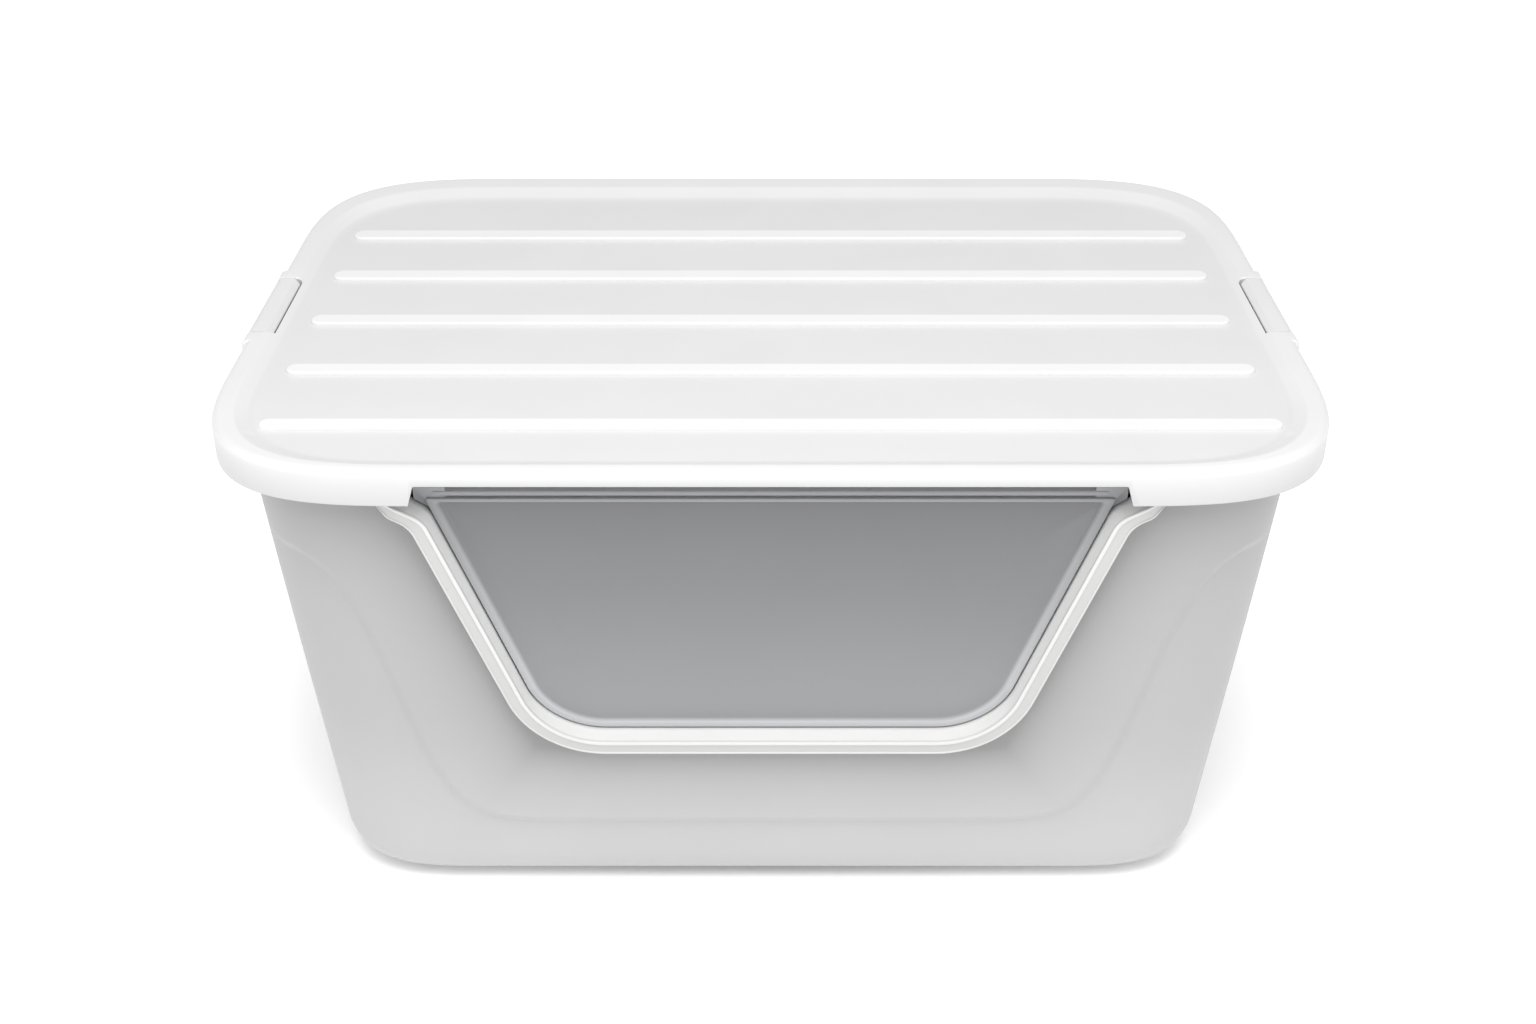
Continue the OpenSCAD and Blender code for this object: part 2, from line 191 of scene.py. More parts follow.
def rounded(path: Array, radii: Array | float, steps: int = 6, closed: bool = False) -> Array:
    """A flat path with round corners.

    Each corner becomes an arc that touches both its sides: its centre lies on the corner's
    bisector, one radius from each side, and its points turn evenly about that centre.

    Args:
        path: Corner points, n x 2.
        radii: The radius at each corner, or one for all of them; 0 leaves a corner sharp.
        steps: How many chords each arc has.
        closed: Whether the path's last point joins its first.

    Returns:
        The rounded path's points.
    """
    radii = np.broadcast_to(np.asarray(radii, float), len(path)).copy()
    if not closed:
        radii[[0, -1]] = 0
    before, after = np.roll(path, 1, 0) - path, np.roll(path, -1, 0) - path
    pieces = []
    for point, a, b, radius in zip(path, before, after, radii):
        if radius <= 0:
            pieces.append(point[None])
            continue
        a, b = a / np.linalg.norm(a), b / np.linalg.norm(b)
        half = math.acos(np.clip(a @ b, -1, 1)) / 2
        middle = (a + b) / np.linalg.norm(a + b)
        centre = point + middle * radius / math.sin(half)
        first = point + a * radius / math.tan(half) - centre
        turn = math.copysign(math.pi - 2 * half, -(a[0] * b[1] - a[1] * b[0]))
        angle = np.linspace(0, turn, steps + 1)
        cos, sin = np.cos(angle)[:, None], np.sin(angle)[:, None]
        pieces.append(centre + first * cos + np.array([-first[1], first[0]]) * sin)
    return np.concatenate(pieces)


def mirrored(half: Array) -> Array:
    """A whole path from its right half, which starts on the middle line x = 0."""
    return np.concatenate([half[:0:-1] * [-1, 1], half])


def extrude(outline: Array, low: float, high: float, place: Place) -> Surface:
    """A prism: the outline at two heights, joined by quads and capped.

    Args:
        outline: The prism's outline, n x 2.
        low: Where the prism starts.
        high: Where it ends.
        place: A function that turns (outline, height) into points in space.

    Returns:
        The prism's surface.
    """
    return skin(np.stack([place(outline, low), place(outline, high)]))


def revolve(profile: Array, centre: Array, axis: int, steps: int = 48, loop: bool = False) -> Surface:
    """A turned solid: each profile point (along the axis, radius) becomes a circle.

    Args:
        profile: Points as (distance along the axis, radius), n x 2.
        centre: The point that distances are measured from.
        axis: 0, 1 or 2 for an axis along X, Y or Z.
        steps: How many points a circle has.
        loop: Whether the profile is closed, as for a tube.

    Returns:
        The surface.
    """
    angle = np.linspace(0, 2 * math.pi, steps, endpoint=False)
    rings = np.empty((len(profile), steps, 3))
    rings[..., axis] = profile[:, :1]
    rings[..., (axis + 1) % 3] = profile[:, 1:] * np.cos(angle)
    rings[..., (axis + 2) % 3] = profile[:, 1:] * np.sin(angle)
    return skin(rings + centre, loop)


def smooth(t: Array) -> Array:
    """0 below 0, 1 above 1, and 3t^2 - 2t^3 between."""
    t = np.clip(t, 0, 1)
    return t * t * (3 - 2 * t)


@dataclass(frozen=True)
class Outline:
    """A rectangle with full corners, as columns that serve a ring of any size.

    A column's point is reach * (half size - corner size) + turn * corner size. Along a
    corner, turn follows |x|^p + |y|^p = 1 at even steps of its length.
    """

    reach: Array
    turn: Array
    power: float

    @classmethod
    def of(
        cls, front: int, side: int, back: int, front_corner: int, back_corner: int, power: float = 3.3
    ) -> Outline:
        """Columns counted along each stretch, anticlockwise from above, from the right side.

        Args:
            front: Steps along the front.
            side: Steps along each side.
            back: Steps along the back.
            front_corner: Steps round each front corner.
            back_corner: Steps round each back corner.
            power: The p of the corners' formula; 2 is a circle.

        Returns:
            The outline.
        """

        def corner(steps: int) -> Array:
            """A quarter of the curve in that many even steps, without its last point."""
            t = np.linspace(0, math.pi / 2, 40 * steps + 1)
            dense = np.stack([np.cos(t), np.sin(t)], 1).clip(0) ** (2 / power)
            run = np.concatenate([[0], np.cumsum(np.linalg.norm(np.diff(dense, axis=0), axis=1))])
            even = np.linspace(0, run[-1], steps + 1)[:-1]
            return np.stack([np.interp(even, run, dense[:, k]) for k in (0, 1)], 1)

        reach, turn = [], []
        quarters = [(1, 0, side, back_corner), (0, 1, back, back_corner)]
        quarters += [(-1, 0, side, front_corner), (0, -1, front, front_corner)]
        for x, y, steps, corner_steps in quarters:
            along = np.linspace(-1, 1, steps + 1)[:-1, None]
            ahead = np.array([-y, x])
            reach.append(np.array([x, y]) + along * ahead)
            turn.append(np.tile([float(x), float(y)], (steps, 1)))
            c = corner(corner_steps)
            turn.append(c[:, :1] * np.array([x, y]) + c[:, 1:] * ahead)
            reach.append(np.tile(np.array([x, y]) + ahead, (corner_steps, 1)))
        return cls(np.concatenate(reach).astype(float), np.concatenate(turn), power)

    def rings(self, half_x: Array, half_y: Array, corner: Array, z: Array, middle: Any = 0.0) -> Array:
        """One ring of points for each set of sizes.

        Args:
            half_x: Half widths, k.
            half_y: Half depths, k.
            corner: Corner sizes, k.
            z: Heights, k.
            middle: The middles' y, k or one for all.

        Returns:
            Points, k x columns x 3.
        """
        half = np.stack([half_x, half_y], -1)[:, None, :]
        size = np.asarray(corner)[:, None, None]
        flat = self.reach * (half - size) + self.turn * size
        flat[..., 1] += np.broadcast_to(middle, len(half))[:, None]
        height = np.broadcast_to(np.asarray(z)[:, None], flat.shape[:2])
        return np.concatenate([flat, height[..., None]], -1)

    def normals(self) -> Array:
        """Each column's outward direction, from the slope of |x|^p + |y|^p."""
        slope = np.sign(self.turn) * np.abs(self.turn) ** (self.power - 1)
        return slope / np.linalg.norm(slope, axis=1, keepdims=True)


# --- finishing a mesh -------------------------------------------------------------------


def apply_modifiers(piece: bpy.types.Object) -> None:
    """Replaces a piece's mesh by what its modifiers make of it, and removes them.

    Args:
        piece: The piece, changed in place.
    """
    graph = bpy.context.evaluated_depsgraph_get()
    made = bpy.data.meshes.new_from_object(piece.evaluated_get(graph), depsgraph=graph)
    old = piece.data
    piece.modifiers.clear()
    piece.data = made
    made.name = piece.name
    bpy.data.meshes.remove(old)


def combine(piece: bpy.types.Object, how: Join, surfaces: Iterable[Surface]) -> None:
    """Cuts separate closed surfaces out of a piece, or adds them to it.

    Args:
        piece: The piece, whose mesh is closed.
        how: Whether the surfaces are cut out or added.
        surfaces: Closed surfaces that don't touch each other.
    """
    tool = Surface.together(surfaces).piece("tool")
    modifier = piece.modifiers.new("combine", "BOOLEAN")
    modifier.operation, modifier.solver, modifier.object = how.value, "EXACT", tool
    bpy.context.view_layer.update()
    apply_modifiers(piece)
    mesh = tool.data
    bpy.data.objects.remove(tool)
    bpy.data.meshes.remove(mesh)


def soften(piece: bpy.types.Object, width: float, steps: int = 3) -> None:
    """Rounds a piece's sharp edges with a bevel of that width in millimetres.

    Args:
        piece: The piece, changed in place.
        width: The bevel's width in millimetres.
        steps: How many segments the bevel has.
    """
    bevel = piece.modifiers.new("soft edges", "BEVEL")
    bevel.width, bevel.segments, bevel.limit_method = width * MM, steps, "ANGLE"
    bevel.angle_limit = math.radians(30)
    bevel.use_clamp_overlap = True
    apply_modifiers(piece)


def store(mesh: bpy.types.Mesh, name: str, value: Array) -> None:
    """Stores a number at each of a mesh's points under that name."""
    layer = mesh.attributes.new(name, "FLOAT", "POINT")
    layer.data.foreach_set("value", value.astype(np.float32))


def mesh_points(mesh: bpy.types.Mesh) -> Array:
    """A mesh's points in millimetres, n x 3."""
    points = np.empty(len(mesh.vertices) * 3)
    mesh.vertices.foreach_get("co", points)
    return points.reshape(-1, 3) / MM


def store_edges(mesh: bpy.types.Mesh, radius: float) -> None:
    """Stores how sharply the surface turns outwards at each point, from 0 to 1, as "edge".

    Along a mesh edge the turn is (p2 - p1) . (n2 - n1) / |p2 - p1|^2, one over the radius
    of the surface. A point keeps the largest of its edges.

    Args:
        mesh: The mesh.
        radius: The radius, in millimetres, at which the value reaches 1.
    """
    points = mesh_points(mesh)
    normals = np.empty(points.size)
    ends = np.empty(len(mesh.edges) * 2, int)
    mesh.vertex_normals.foreach_get("vector", normals)
    mesh.edges.foreach_get("vertices", ends)
    normals, ends = normals.reshape(-1, 3), ends.reshape(-1, 2)
    run = points[ends[:, 1]] - points[ends[:, 0]]
    tilt = normals[ends[:, 1]] - normals[ends[:, 0]]
    shortest = 1e-6
    turn = np.einsum("ij,ij->i", run, tilt) / np.maximum(np.einsum("ij,ij->i", run, run), shortest)
    value = np.zeros(len(points))
    for k in (0, 1):
        np.maximum.at(value, ends[:, k], turn)
    store(mesh, "edge", np.clip(value * radius, 0, 1))


def finish_mesh(
    piece: bpy.types.Object,
    tone: Callable[[Array], Array] | None = None,
    crease: float = 32.0,
    edge_radius: float = 1.2,
) -> None:
    """Shades a piece smooth but for its creases, with flat faces kept flat.

    Args:
        piece: The piece.
        tone: Gives the painted light and shade: how much paler, up to 1, or darker, down to -1, the plastic
            is painted at points.
        crease: The angle, in degrees, past which an edge stays sharp.
        edge_radius: The radius at which an outer edge counts as fully worn and fully lit by the painted edge
            highlight, millimetres.
    """
    mesh = piece.data
    if tone is not None:
        store(mesh, "tone", tone(mesh_points(mesh)))
    mesh.shade_smooth()
    mesh.set_sharp_from_angle(angle=math.radians(crease))
    store_edges(mesh, edge_radius)
    weigh = piece.modifiers.new("flat faces", "WEIGHTED_NORMAL")
    weigh.keep_sharp, weigh.weight = True, 50
    apply_modifiers(piece)


# --- shader nodes -----------------------------------------------------------------------


class Socket:
    """A shader value that can be added, multiplied and so on like a number."""

    def __init__(self, net: Net, socket: bpy.types.NodeSocket) -> None:
        """Wraps a node's output socket."""
        self.net, self.socket = net, socket

    def maths(self, operation: str, *values: Any) -> Socket:
        """This value and others through one Math node."""
        made = self.net.node("ShaderNodeMath", {"operation": operation}, dict(enumerate(values)))
        return Socket(self.net, made.outputs[0])

    def __add__(self, other: Any) -> Socket:
        """self + other."""
        return self.maths("ADD", self, other)

    def __sub__(self, other: Any) -> Socket:
        """self - other."""
        return self.maths("SUBTRACT", self, other)

    def __rsub__(self, other: Any) -> Socket:
        """other - self."""
        return self.maths("SUBTRACT", other, self)

    def __mul__(self, other: Any) -> Socket:
        """self * other."""
        return self.maths("MULTIPLY", self, other)

    __radd__, __rmul__ = __add__, __mul__

    def ramp(self, low: float, high: float) -> Socket:
        """0 where this is below low, 1 where it is above high, and smooth between."""
        settings = {"interpolation_type": "SMOOTHSTEP"}
        made = self.net.node("ShaderNodeMapRange", settings, {0: self, 1: low, 2: high})
        return Socket(self.net, made.outputs[0])


class Net:
    """The nodes of one material."""

    def __init__(self, name: str) -> None:
        """Starts a material with a Principled shader.

        Args:
            name: The material's name.
        """
        self.material = bpy.data.materials.new(name)
        self.material.use_nodes = True
        self.tree = self.material.node_tree
        self.tree.nodes.clear()
        self.shader = self.node("ShaderNodeBsdfPrincipled", {}, {})
        self.node("ShaderNodeOutputMaterial", {}, {"Surface": self.shader.outputs[0]})
        self.place = self.node("ShaderNodeTexCoord", {}, {}).outputs["Object"]

    def node(self, kind: str, settings: dict[str, Any], inputs: dict[Any, Any]) -> bpy.types.Node:
        """Adds one node.

        Args:
            kind: The node's type.
            settings: Its properties, which are set first.
            inputs: Values or links of its sockets, by name or number.

        Returns:
            The node.
        """
        made = self.tree.nodes.new(kind)
        for key, value in settings.items():
            setattr(made, key, value)
        for key, value in inputs.items():
            self.put(made.inputs[key], value)
        return made

    def put(self, socket: bpy.types.NodeSocket, value: Any) -> None:
        """Links a value to an input socket, or sets it there when it is plain.

        Args:
            socket: The input socket.
            value: A socket, a node's output or a plain value.
        """
        value = value.socket if isinstance(value, Socket) else value
        if isinstance(value, bpy.types.NodeSocket):
            self.tree.links.new(value, socket)
        else:
            socket.default_value = value

    def noise(self, size: float, detail: float = 2.0, stretch: tuple = (1.0, 1.0, 1.0)) -> Socket:
        """Noise whose lumps are about that size in millimetres, stretched along each axis.

        Args:
            size: The size of the lumps in millimetres.
            detail: How many finer layers are added.
            stretch: How much longer the lumps are along each axis.

        Returns:
            The noise, from 0 to 1.
        """
        scaled = self.node(
            "ShaderNodeVectorMath", {"operation": "DIVIDE"}, {0: self.place, 1: stretch}
        )
        made = self.node(
            "ShaderNodeTexNoise",
            {"noise_dimensions": "3D"},
            {"Vector": scaled.outputs[0], "Scale": 1 / (size * MM), "Detail": detail},
        )
        return Socket(self, made.outputs[0])

    def stored(self, name: str) -> Socket:
        """A number that the piece's mesh stores at its points, or 0 where it stores none."""
        made = self.node("ShaderNodeAttribute", {"attribute_name": name}, {})
        return Socket(self, made.outputs["Fac"])

    def scale(self, colour: bpy.types.NodeSocket, factor: Socket) -> bpy.types.NodeSocket:
        """A colour times a factor."""
        made = self.node("ShaderNodeVectorMath", {"operation": "SCALE"}, {0: colour, "Scale": factor})
        return made.outputs[0]

    def height(self) -> Socket:
        """Height above the floor in metres."""
        made = self.node("ShaderNodeSeparateXYZ", {}, {0: self.place})
        return Socket(self, made.outputs["Z"])

    def blend(self, factor: Any, first: Any, second: Any) -> bpy.types.NodeSocket:
        """A mix of two colours.

        Args:
            factor: How much of the second there is.
            first: The colour at factor 0.
            second: The colour at factor 1.

        Returns:
            The colour's socket.
        """
        made = self.node("ShaderNodeMix", {"data_type": "RGBA"}, {})
        colours = [s for s in made.inputs if s.type == "RGBA"]
        for socket, value in zip([made.inputs[0], *colours], (factor, first, second)):
            self.put(socket, value)
        return next(s for s in made.outputs if s.type == "RGBA")

    def bump(self, height: Socket, depth: float, under: Any = None) -> bpy.types.NodeSocket:
        """A bump from a height.

        Args:
            height: The height, from 0 to 1.
            depth: How deep a height of 1 is, in millimetres.
            under: The normal of the bump beneath, if there is one.

        Returns:
            The normal's socket.
        """
        inputs = {"Height": height, "Distance": depth * MM, "Strength": 1.0}
        if under is not None:
            inputs["Normal"] = under
        return self.node("ShaderNodeBump", {}, inputs).outputs[0]

    def set(self, **inputs: Any) -> None:
        """Sets the shader's sockets; an underscore in a name stands for a space."""
        for key, value in inputs.items():
            self.put(self.shader.inputs[key.replace("_", " ")], value)


Colour = tuple[float, float, float]


def rgba(colour: Colour, factor: float = 1.0) -> tuple[float, float, float, float]:
    """A colour times a factor, with an alpha of 1."""
    return (*(min(1.0, c * factor) for c in colour), 1.0)


@dataclass(frozen=True)
class MouldedPlastic:
    """Satin moulded plastic with a fine grain and soft flow marks, with light and shade painted into its
    colour and its edges paled as wear and as a painted highlight.
    """

    name: str
    colour: Colour
    roughness: float = 0.42
    mottle: float = 0.025
    grain: float = 0.9
    grain_depth: float = 0.014
    wave_depth: float = 0.05
    # Edges pale as wear and as a painted highlight; the two gains below paint light and shade into the
    # colour, the second paler towards the floor.
    rub: float = 0.06
    tone_gain: float = 0.0
    foot_gain: float = 0.0
    foot_span: tuple[float, float] = (0.1, 0.25)

    def material(self) -> bpy.types.Material:
        """The finish as a material.

        The colour varies by mottle in soft clouds, and light and shade are painted into it:
        it is paler or darker by the painted light that the mesh stores, scaled by its gain, paler
        towards the floor as painted light from below, and paler at outer edges as wear and as a
        painted highlight. The roughness varies with clouds and faint rubbing marks, and drops at
        outer edges.

        Returns:
            The material.
        """
        net = Net(self.name)
        clouds, marks = net.noise(55, 3), net.noise(4, 3, (9.0, 1.0, 1.0))
        edge = net.stored("edge")
        tone = net.blend(clouds, rgba(self.colour, 1 - self.mottle), rgba(self.colour, 1 + self.mottle))
        # Painted light: paler towards the floor, and paler or darker by the stored painted light.
        low = 1 - net.height().ramp(*self.foot_span)
        painted_light_factor = (1 + net.stored("tone") * self.tone_gain) * (1 + low * self.foot_gain)
        tone = net.scale(tone, painted_light_factor)
        # Outer edges pale as wear and as a painted highlight.
        worn_and_highlit = edge.ramp(0.25, 1.0) * (0.4 + marks * 0.6)
        pale = tuple(1 - (1 - c) * 0.6 for c in self.colour)
        colour = net.blend(worn_and_highlit * self.rub, tone, rgba(pale))
        rough = self.roughness - 0.05 + clouds * 0.1 + marks.ramp(0.55, 0.75) * 0.05 - worn_and_highlit * 0.08
        waves = net.bump(net.noise(38, 1), self.wave_depth)
        normal = net.bump(net.noise(self.grain, 1), self.grain_depth, waves)
        net.set(Base_Color=colour, Roughness=rough, Normal=normal, IOR=1.49)
        return net.material


@dataclass(frozen=True)
class DrawnSteel:
    """Bright steel wire with fine lines along it."""

    name: str
    colour: Colour
    along: tuple[float, float, float]

    def material(self) -> bpy.types.Material:
        """The finish as a material: fine lines change its roughness and stand up a little.

        Returns:
            The material.
        """
        net = Net(self.name)
        lines, clouds = net.noise(0.3, 2, self.along), net.noise(9, 2)
        colour = net.blend(clouds, rgba(self.colour, 0.9), rgba(self.colour, 1.05))
        normal = net.bump(lines, 0.01)
        net.set(Base_Color=colour, Roughness=0.24 + lines * 0.14 + clouds * 0.06, Normal=normal)
        net.set(Metallic=1.0)
        return net.material


@dataclass(frozen=True)
class SoftRubber:
    """Matt moulded rubber, paler where it is scuffed."""

    name: str
    colour: Colour

    def material(self) -> bpy.types.Material:
        """The finish as a material: a fine grain, and scuffs that pale it.

        Returns:
            The material.
        """
        net = Net(self.name)
        scuffs, grain = net.noise(3, 4).ramp(0.5, 0.75), net.noise(0.5, 2)
        colour = net.blend(scuffs * 0.4, rgba(self.colour), rgba(self.colour, 2.2))
        net.set(Base_Color=colour, Roughness=0.78 + scuffs * 0.12, Normal=net.bump(grain, 0.03))
        return net.material


# --- places from the frame --------------------------------------------------------------


@dataclass(frozen=True)
class Frame:
    """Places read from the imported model, in millimetres."""

    lip_x: float
    lip_y: float
    rim_z: float
    lid_y: float
    top_z: float
    rod_y: float
    rod_z: float
    latch_x: float
    latch_y: float
    latch_z: float
    boxes: dict[str, tuple[Array, Array]]

    @classmethod
    def read(cls, frame: dict[str, Any]) -> Frame:
        """Reads the nodes' boxes and the joints' axes.


        Returns:
            The places.
        """
        boxes = {n: tuple(np.array(corner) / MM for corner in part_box(n)) for n in frame["nodes"]}
        joints = {j["name"]: np.array(j["pos_m"]) / MM for j in frame["joints"] if "pos_m" in j}
        rod, latch = joints["flap_swing"], joints["right_latch_turn"]
        tub, lid = boxes["tub"][1], boxes["lid"][1]
        return cls(tub[0], tub[1], tub[2], lid[1], lid[2], rod[1], rod[2], *latch, boxes)


@dataclass(frozen=True)
class Wall:
    """The tub's drafted walls, and the flat front one that the entry is in."""

    base_x: float
    base_y: float
    draft: float

    @property
    def grow(self) -> float:
        """How far the walls lean out for each millimetre of height."""
        return math.tan(self.draft)

    def place(self, outline: Array, proud: float | Array) -> Array:
        """Points on the front wall in space.

        (x, v) runs across and up along the wall, and proud is measured out of it: y is
        -base_y - v sin(draft) - proud cos(draft), and z is v cos(draft) - proud sin(draft).

        Args:
            outline: Points as (x, v), n x 2.
            proud: How far out of the wall they are, one value or n.

        Returns:
            Points, n x 3.
        """
        x, v = outline[:, 0], outline[:, 1]
        sin, cos = math.sin(self.draft), math.cos(self.draft)
        return np.stack([x, -self.base_y - v * sin - proud * cos, v * cos - proud * sin + 0 * x], 1)

    def coordinates(self, y: float, z: float) -> tuple[float, float]:
        """(v, proud) of a point at (y, z), the inverse of place."""
        sin, cos = math.sin(self.draft), math.cos(self.draft)
        return -(y + self.base_y) * sin + z * cos, -(y + self.base_y) * cos - z * sin


@dataclass(frozen=True)
class Entry:
    """The entry's outline on the front wall, a wide U that flares out under the lid."""

    sill: float = 113.0
    half_sill: float = 115.8
    lean: float = math.tan(math.radians(19.3))
    corner: float = 42.0
    face: float = 9.8
    flare_start: tuple[float, float] = (253.0, 249.0)
    flare_knee: tuple[float, float, float, float] = (177.5, 260.8, 183.5, 254.2)
    flare_end: tuple[float, float, float, float] = (190.5, 267.5, 190.0, 266.0)

    def side(self, v: float, out: float) -> float:
        """x of the right-hand side at height v, for an outline moved out by out."""
        return self.half_sill + (v - self.sill) * self.lean + out * math.hypot(1, self.lean)

    def half(self, out: float) -> Array:
        """The right half of the outline, moved outwards by out.

        Straight stretches joined by arcs: the sill, the leaning side and the flare. The
        flare's own points change evenly from the inner outline to the outer one.

        Args:
            out: How far outwards of the trim's inner face the outline is.

        Returns:
            Points as (x, v) from the middle of the sill to the end of the flare.
        """
        share = out / self.face
        base = self.sill - out
        start = self.flare_start[0] + (self.flare_start[1] - self.flare_start[0]) * share
        knee, end = (
            np.array(p[:2]) + (np.array(p[2:]) - np.array(p[:2])) * share
            for p in (self.flare_knee, self.flare_end)
        )
        corners = [[0, base], [self.side(base, out), base], [self.side(start, out), start], knee, end]
        radii = np.array([0, self.corner + out, 14 + 2 * share, 9, 0])
        return rounded(np.array(corners), radii, 16)

    def plate(self, gap: float, top: float, top_radius: float = 1.2) -> Array:
        """A closed outline that stays a gap inside the entry and stops at height top.

        Args:
            gap: The room left between the plate and the entry's edge.
            top: The height of the plate's top on the wall.
            top_radius: The radius of the plate's top corners.

        Returns:
            The outline, n x 2.
        """
        base = self.sill + gap
        corners = [[0, base], [self.side(base, -gap), base], [self.side(top, -gap), top], [0, top]]
        radii = np.array([0, self.corner - gap, top_radius, 0])
        return mirrored(rounded(np.array(corners), radii, 16))[1:]


# --- sub-assemblies ---------------------------------------------------------------------


@dataclass
class Tub:
    """The drafted tub, with its turned-out rim, round floor edge and soft front contour."""

    frame: Frame
    wall: Wall
    entry: Entry
    thickness: float = 2.6
    floor: float = 3.0
    foot_drop: float = 2.0
    bottom_round: float = 22.0
    corner_low: float = 83.0
    corner_gain: float = 32.0 / 264.0
    lip_out: float = 6.8
    lip_height: float = 8.0
    cut_out: float = 2.35
    contour_low: float = 49.0
    contour_high: float = 221.0
    contour_middle: float = 191.8
    contour_pace: float = 0.09
    contour_depth: float = 2.4
    contour_width: float = 5.5
    contour_ends: tuple[float, float] = (230.0, 256.0)
    # Painted shade: its reach and depth beside the trim, and its reach under the skirt.
    trim_shade: float = 19.0
    trim_depth: float = 1.5
    skirt_foot: float = 264.0
    skirt_shade: float = 48.0

    def profile(self) -> tuple[Array, int]:
        """The wall in section as (out, z), from under the floor to its top side.

        Out is measured from the wall's drafted outer face.

        Returns:
            The profile, and how many of its first rows are the outer face.
        """
        r, z0, top = self.bottom_round, self.foot_drop, self.frame.rim_z
        t, lip = self.thickness, self.lip_out
        arc = np.linspace(0, math.pi / 2, 17)
        under = np.array([[-62.0, z0], [-r - 6, z0]])
        round_out = np.stack([-r * (1 - np.sin(arc)), z0 + r * (1 - np.cos(arc))], 1)
        fine = [np.arange(z0 + r + 2, 41, 2.5), np.arange(41, 57, 1.0), np.arange(57, 210, 3.0)]
        fine += [np.arange(210, 232, 1.0), np.arange(232, top - self.lip_height - 3, 3.5)]
        heights = np.concatenate(fine)
        face = np.stack([np.zeros(len(heights)), heights], 1)
        rim = rounded(
            np.array(
                [
                    [0, top - self.lip_height - 2], [0, top - t], [lip - t, top - t],
                    [lip - t, top - self.lip_height], [lip, top - self.lip_height],
                    [lip, top], [-t, top], [-t, top - 12],
                ]
            ),
            np.array([0, 1.2, 0.8, 0.7, 0.7, 1.8, 1.0, 0]),
            5,
        )
        inner_r, inner_z = r - t, z0 + self.floor
        down = np.stack([np.full(24, -t), np.linspace(top - 20, inner_z + inner_r + 4, 24)], 1)
        back = arc[::-1]
        round_in = np.stack(
            [-t - inner_r * (1 - np.sin(back)), inner_z + inner_r * (1 - np.cos(back))], 1
        )
        over = np.array([[-r - 6, inner_z], [-62.0, inner_z]])
        outer = len(under) + len(round_out) + len(face)
        return np.concatenate([under, round_out, face, rim, down, round_in, over]), outer

    def contour(self, x: Array, y: Array) -> tuple[Array, Array]:
        """Height of the contour line, and its slope, at a point of the wall.

        Across the front it climbs from low to high along a logistic curve in |x|, and it
        fades out where the front turns into the sides.

        Args:
            x: The points' x.
            y: The points' y.

        Returns:
            The height and its change for each millimetre of x.
        """
        rise = self.contour_high + 3 - self.contour_low
        share = 1 / (1 + np.exp(-self.contour_pace * (np.abs(x) - self.contour_middle)))
        height = self.contour_low + rise * share
        slope = rise * self.contour_pace * share * (1 - share)
        level = (height > self.contour_high) | (y > 0)
        return np.where(level, self.contour_high, height), np.where(level, 0, slope)

    def surface(self) -> Surface:
        """The tub's shell: its profile swept round its outline, sunk below the contour.

        Returns:
            The closed surface, before the entry is cut.
        """
        outline = Outline.of(front=96, side=16, back=24, front_corner=76, back_corner=26)
        profile, outer = self.profile()
        out, z = profile.T
        wide = z * self.wall.grow + out
        corner = self.corner_low + self.corner_gain * z + out
        rings = outline.rings(self.wall.base_x + wide, self.wall.base_y + wide, corner, z)
        face = rings[:outer]
        height, slope = self.contour(face[..., 0], face[..., 1])
        above = (face[..., 2] - height) / np.sqrt(1 + slope**2)
        start, end = self.contour_ends
        sunk = self.contour_depth * (1 - smooth(above / self.contour_width + 0.5))
        sunk *= smooth((face[..., 2] - self.foot_drop) / self.bottom_round)
        sunk *= (face[..., 1] < 0) * (1 - smooth((np.abs(face[..., 0]) - start) / (end - start)))
        face[..., :2] -= sunk[..., None] * outline.normals()
        return skin(rings)

    def build(self) -> list[bpy.types.Object]:
        """Builds the tub and cuts the entry and the pockets for the feet.

        Returns:
            The pieces, in the order of their dresses.
        """
        piece = self.surface().piece("tub_shell")
        half = self.entry.half(self.cut_out)
        top = self.frame.top_z + 20
        hole = mirrored(np.concatenate([half, [[half[-1, 0], top]]]))
        cuts = [extrude(hole, -20, 20, self.wall.place)]
        for name, (low, high) in self.frame.boxes.items():
            if name.startswith("foot_"):
                radius = (high[0] - low[0]) / 2 + 0.05
                middle = np.array([low[0] + radius - 0.05, low[1] + radius - 0.05, 0])
                bore = np.array([[0.5, radius], [high[2] + 0.02, radius]])
                cuts.append(revolve(bore, middle, 2))
        combine(piece, Join.CUT, cuts)
        finish_mesh(piece, self.tone)
        return [piece]

    def tone(self, points: Array) -> Array:
        """Painted shade: darker towards the entry's trim and under the lid's skirt, where shade falls.

        The painted shade falls off as exp(-distance / reach) from the trim's outer line, on the
        front, and from the skirt's foot, all round.

        Args:
            points: Points, n x 3.

        Returns:
            The painted shade at each point, from minus the trim shade's depth to 0.
        """
        v, _ = self.wall.coordinates(points[:, 1], points[:, 2])
        x, entry = np.abs(points[:, 0]), self.entry
        side = (x - entry.side(v, entry.face)) / math.hypot(1, entry.lean)
        far = np.maximum(np.maximum(entry.sill - entry.face - v, side), 0)
        # Painted shade beside and under the entry's trim.
        painted_trim_shade = self.trim_depth * np.exp(-far / self.trim_shade) * (points[:, 1] < -self.wall.base_y + 8)
        # Painted shade under the lid's skirt.
        skirt = np.maximum(self.skirt_foot - points[:, 2], 0)
        return -np.clip(painted_trim_shade + 0.8 * np.exp(-skirt / self.skirt_shade), 0, self.trim_depth)


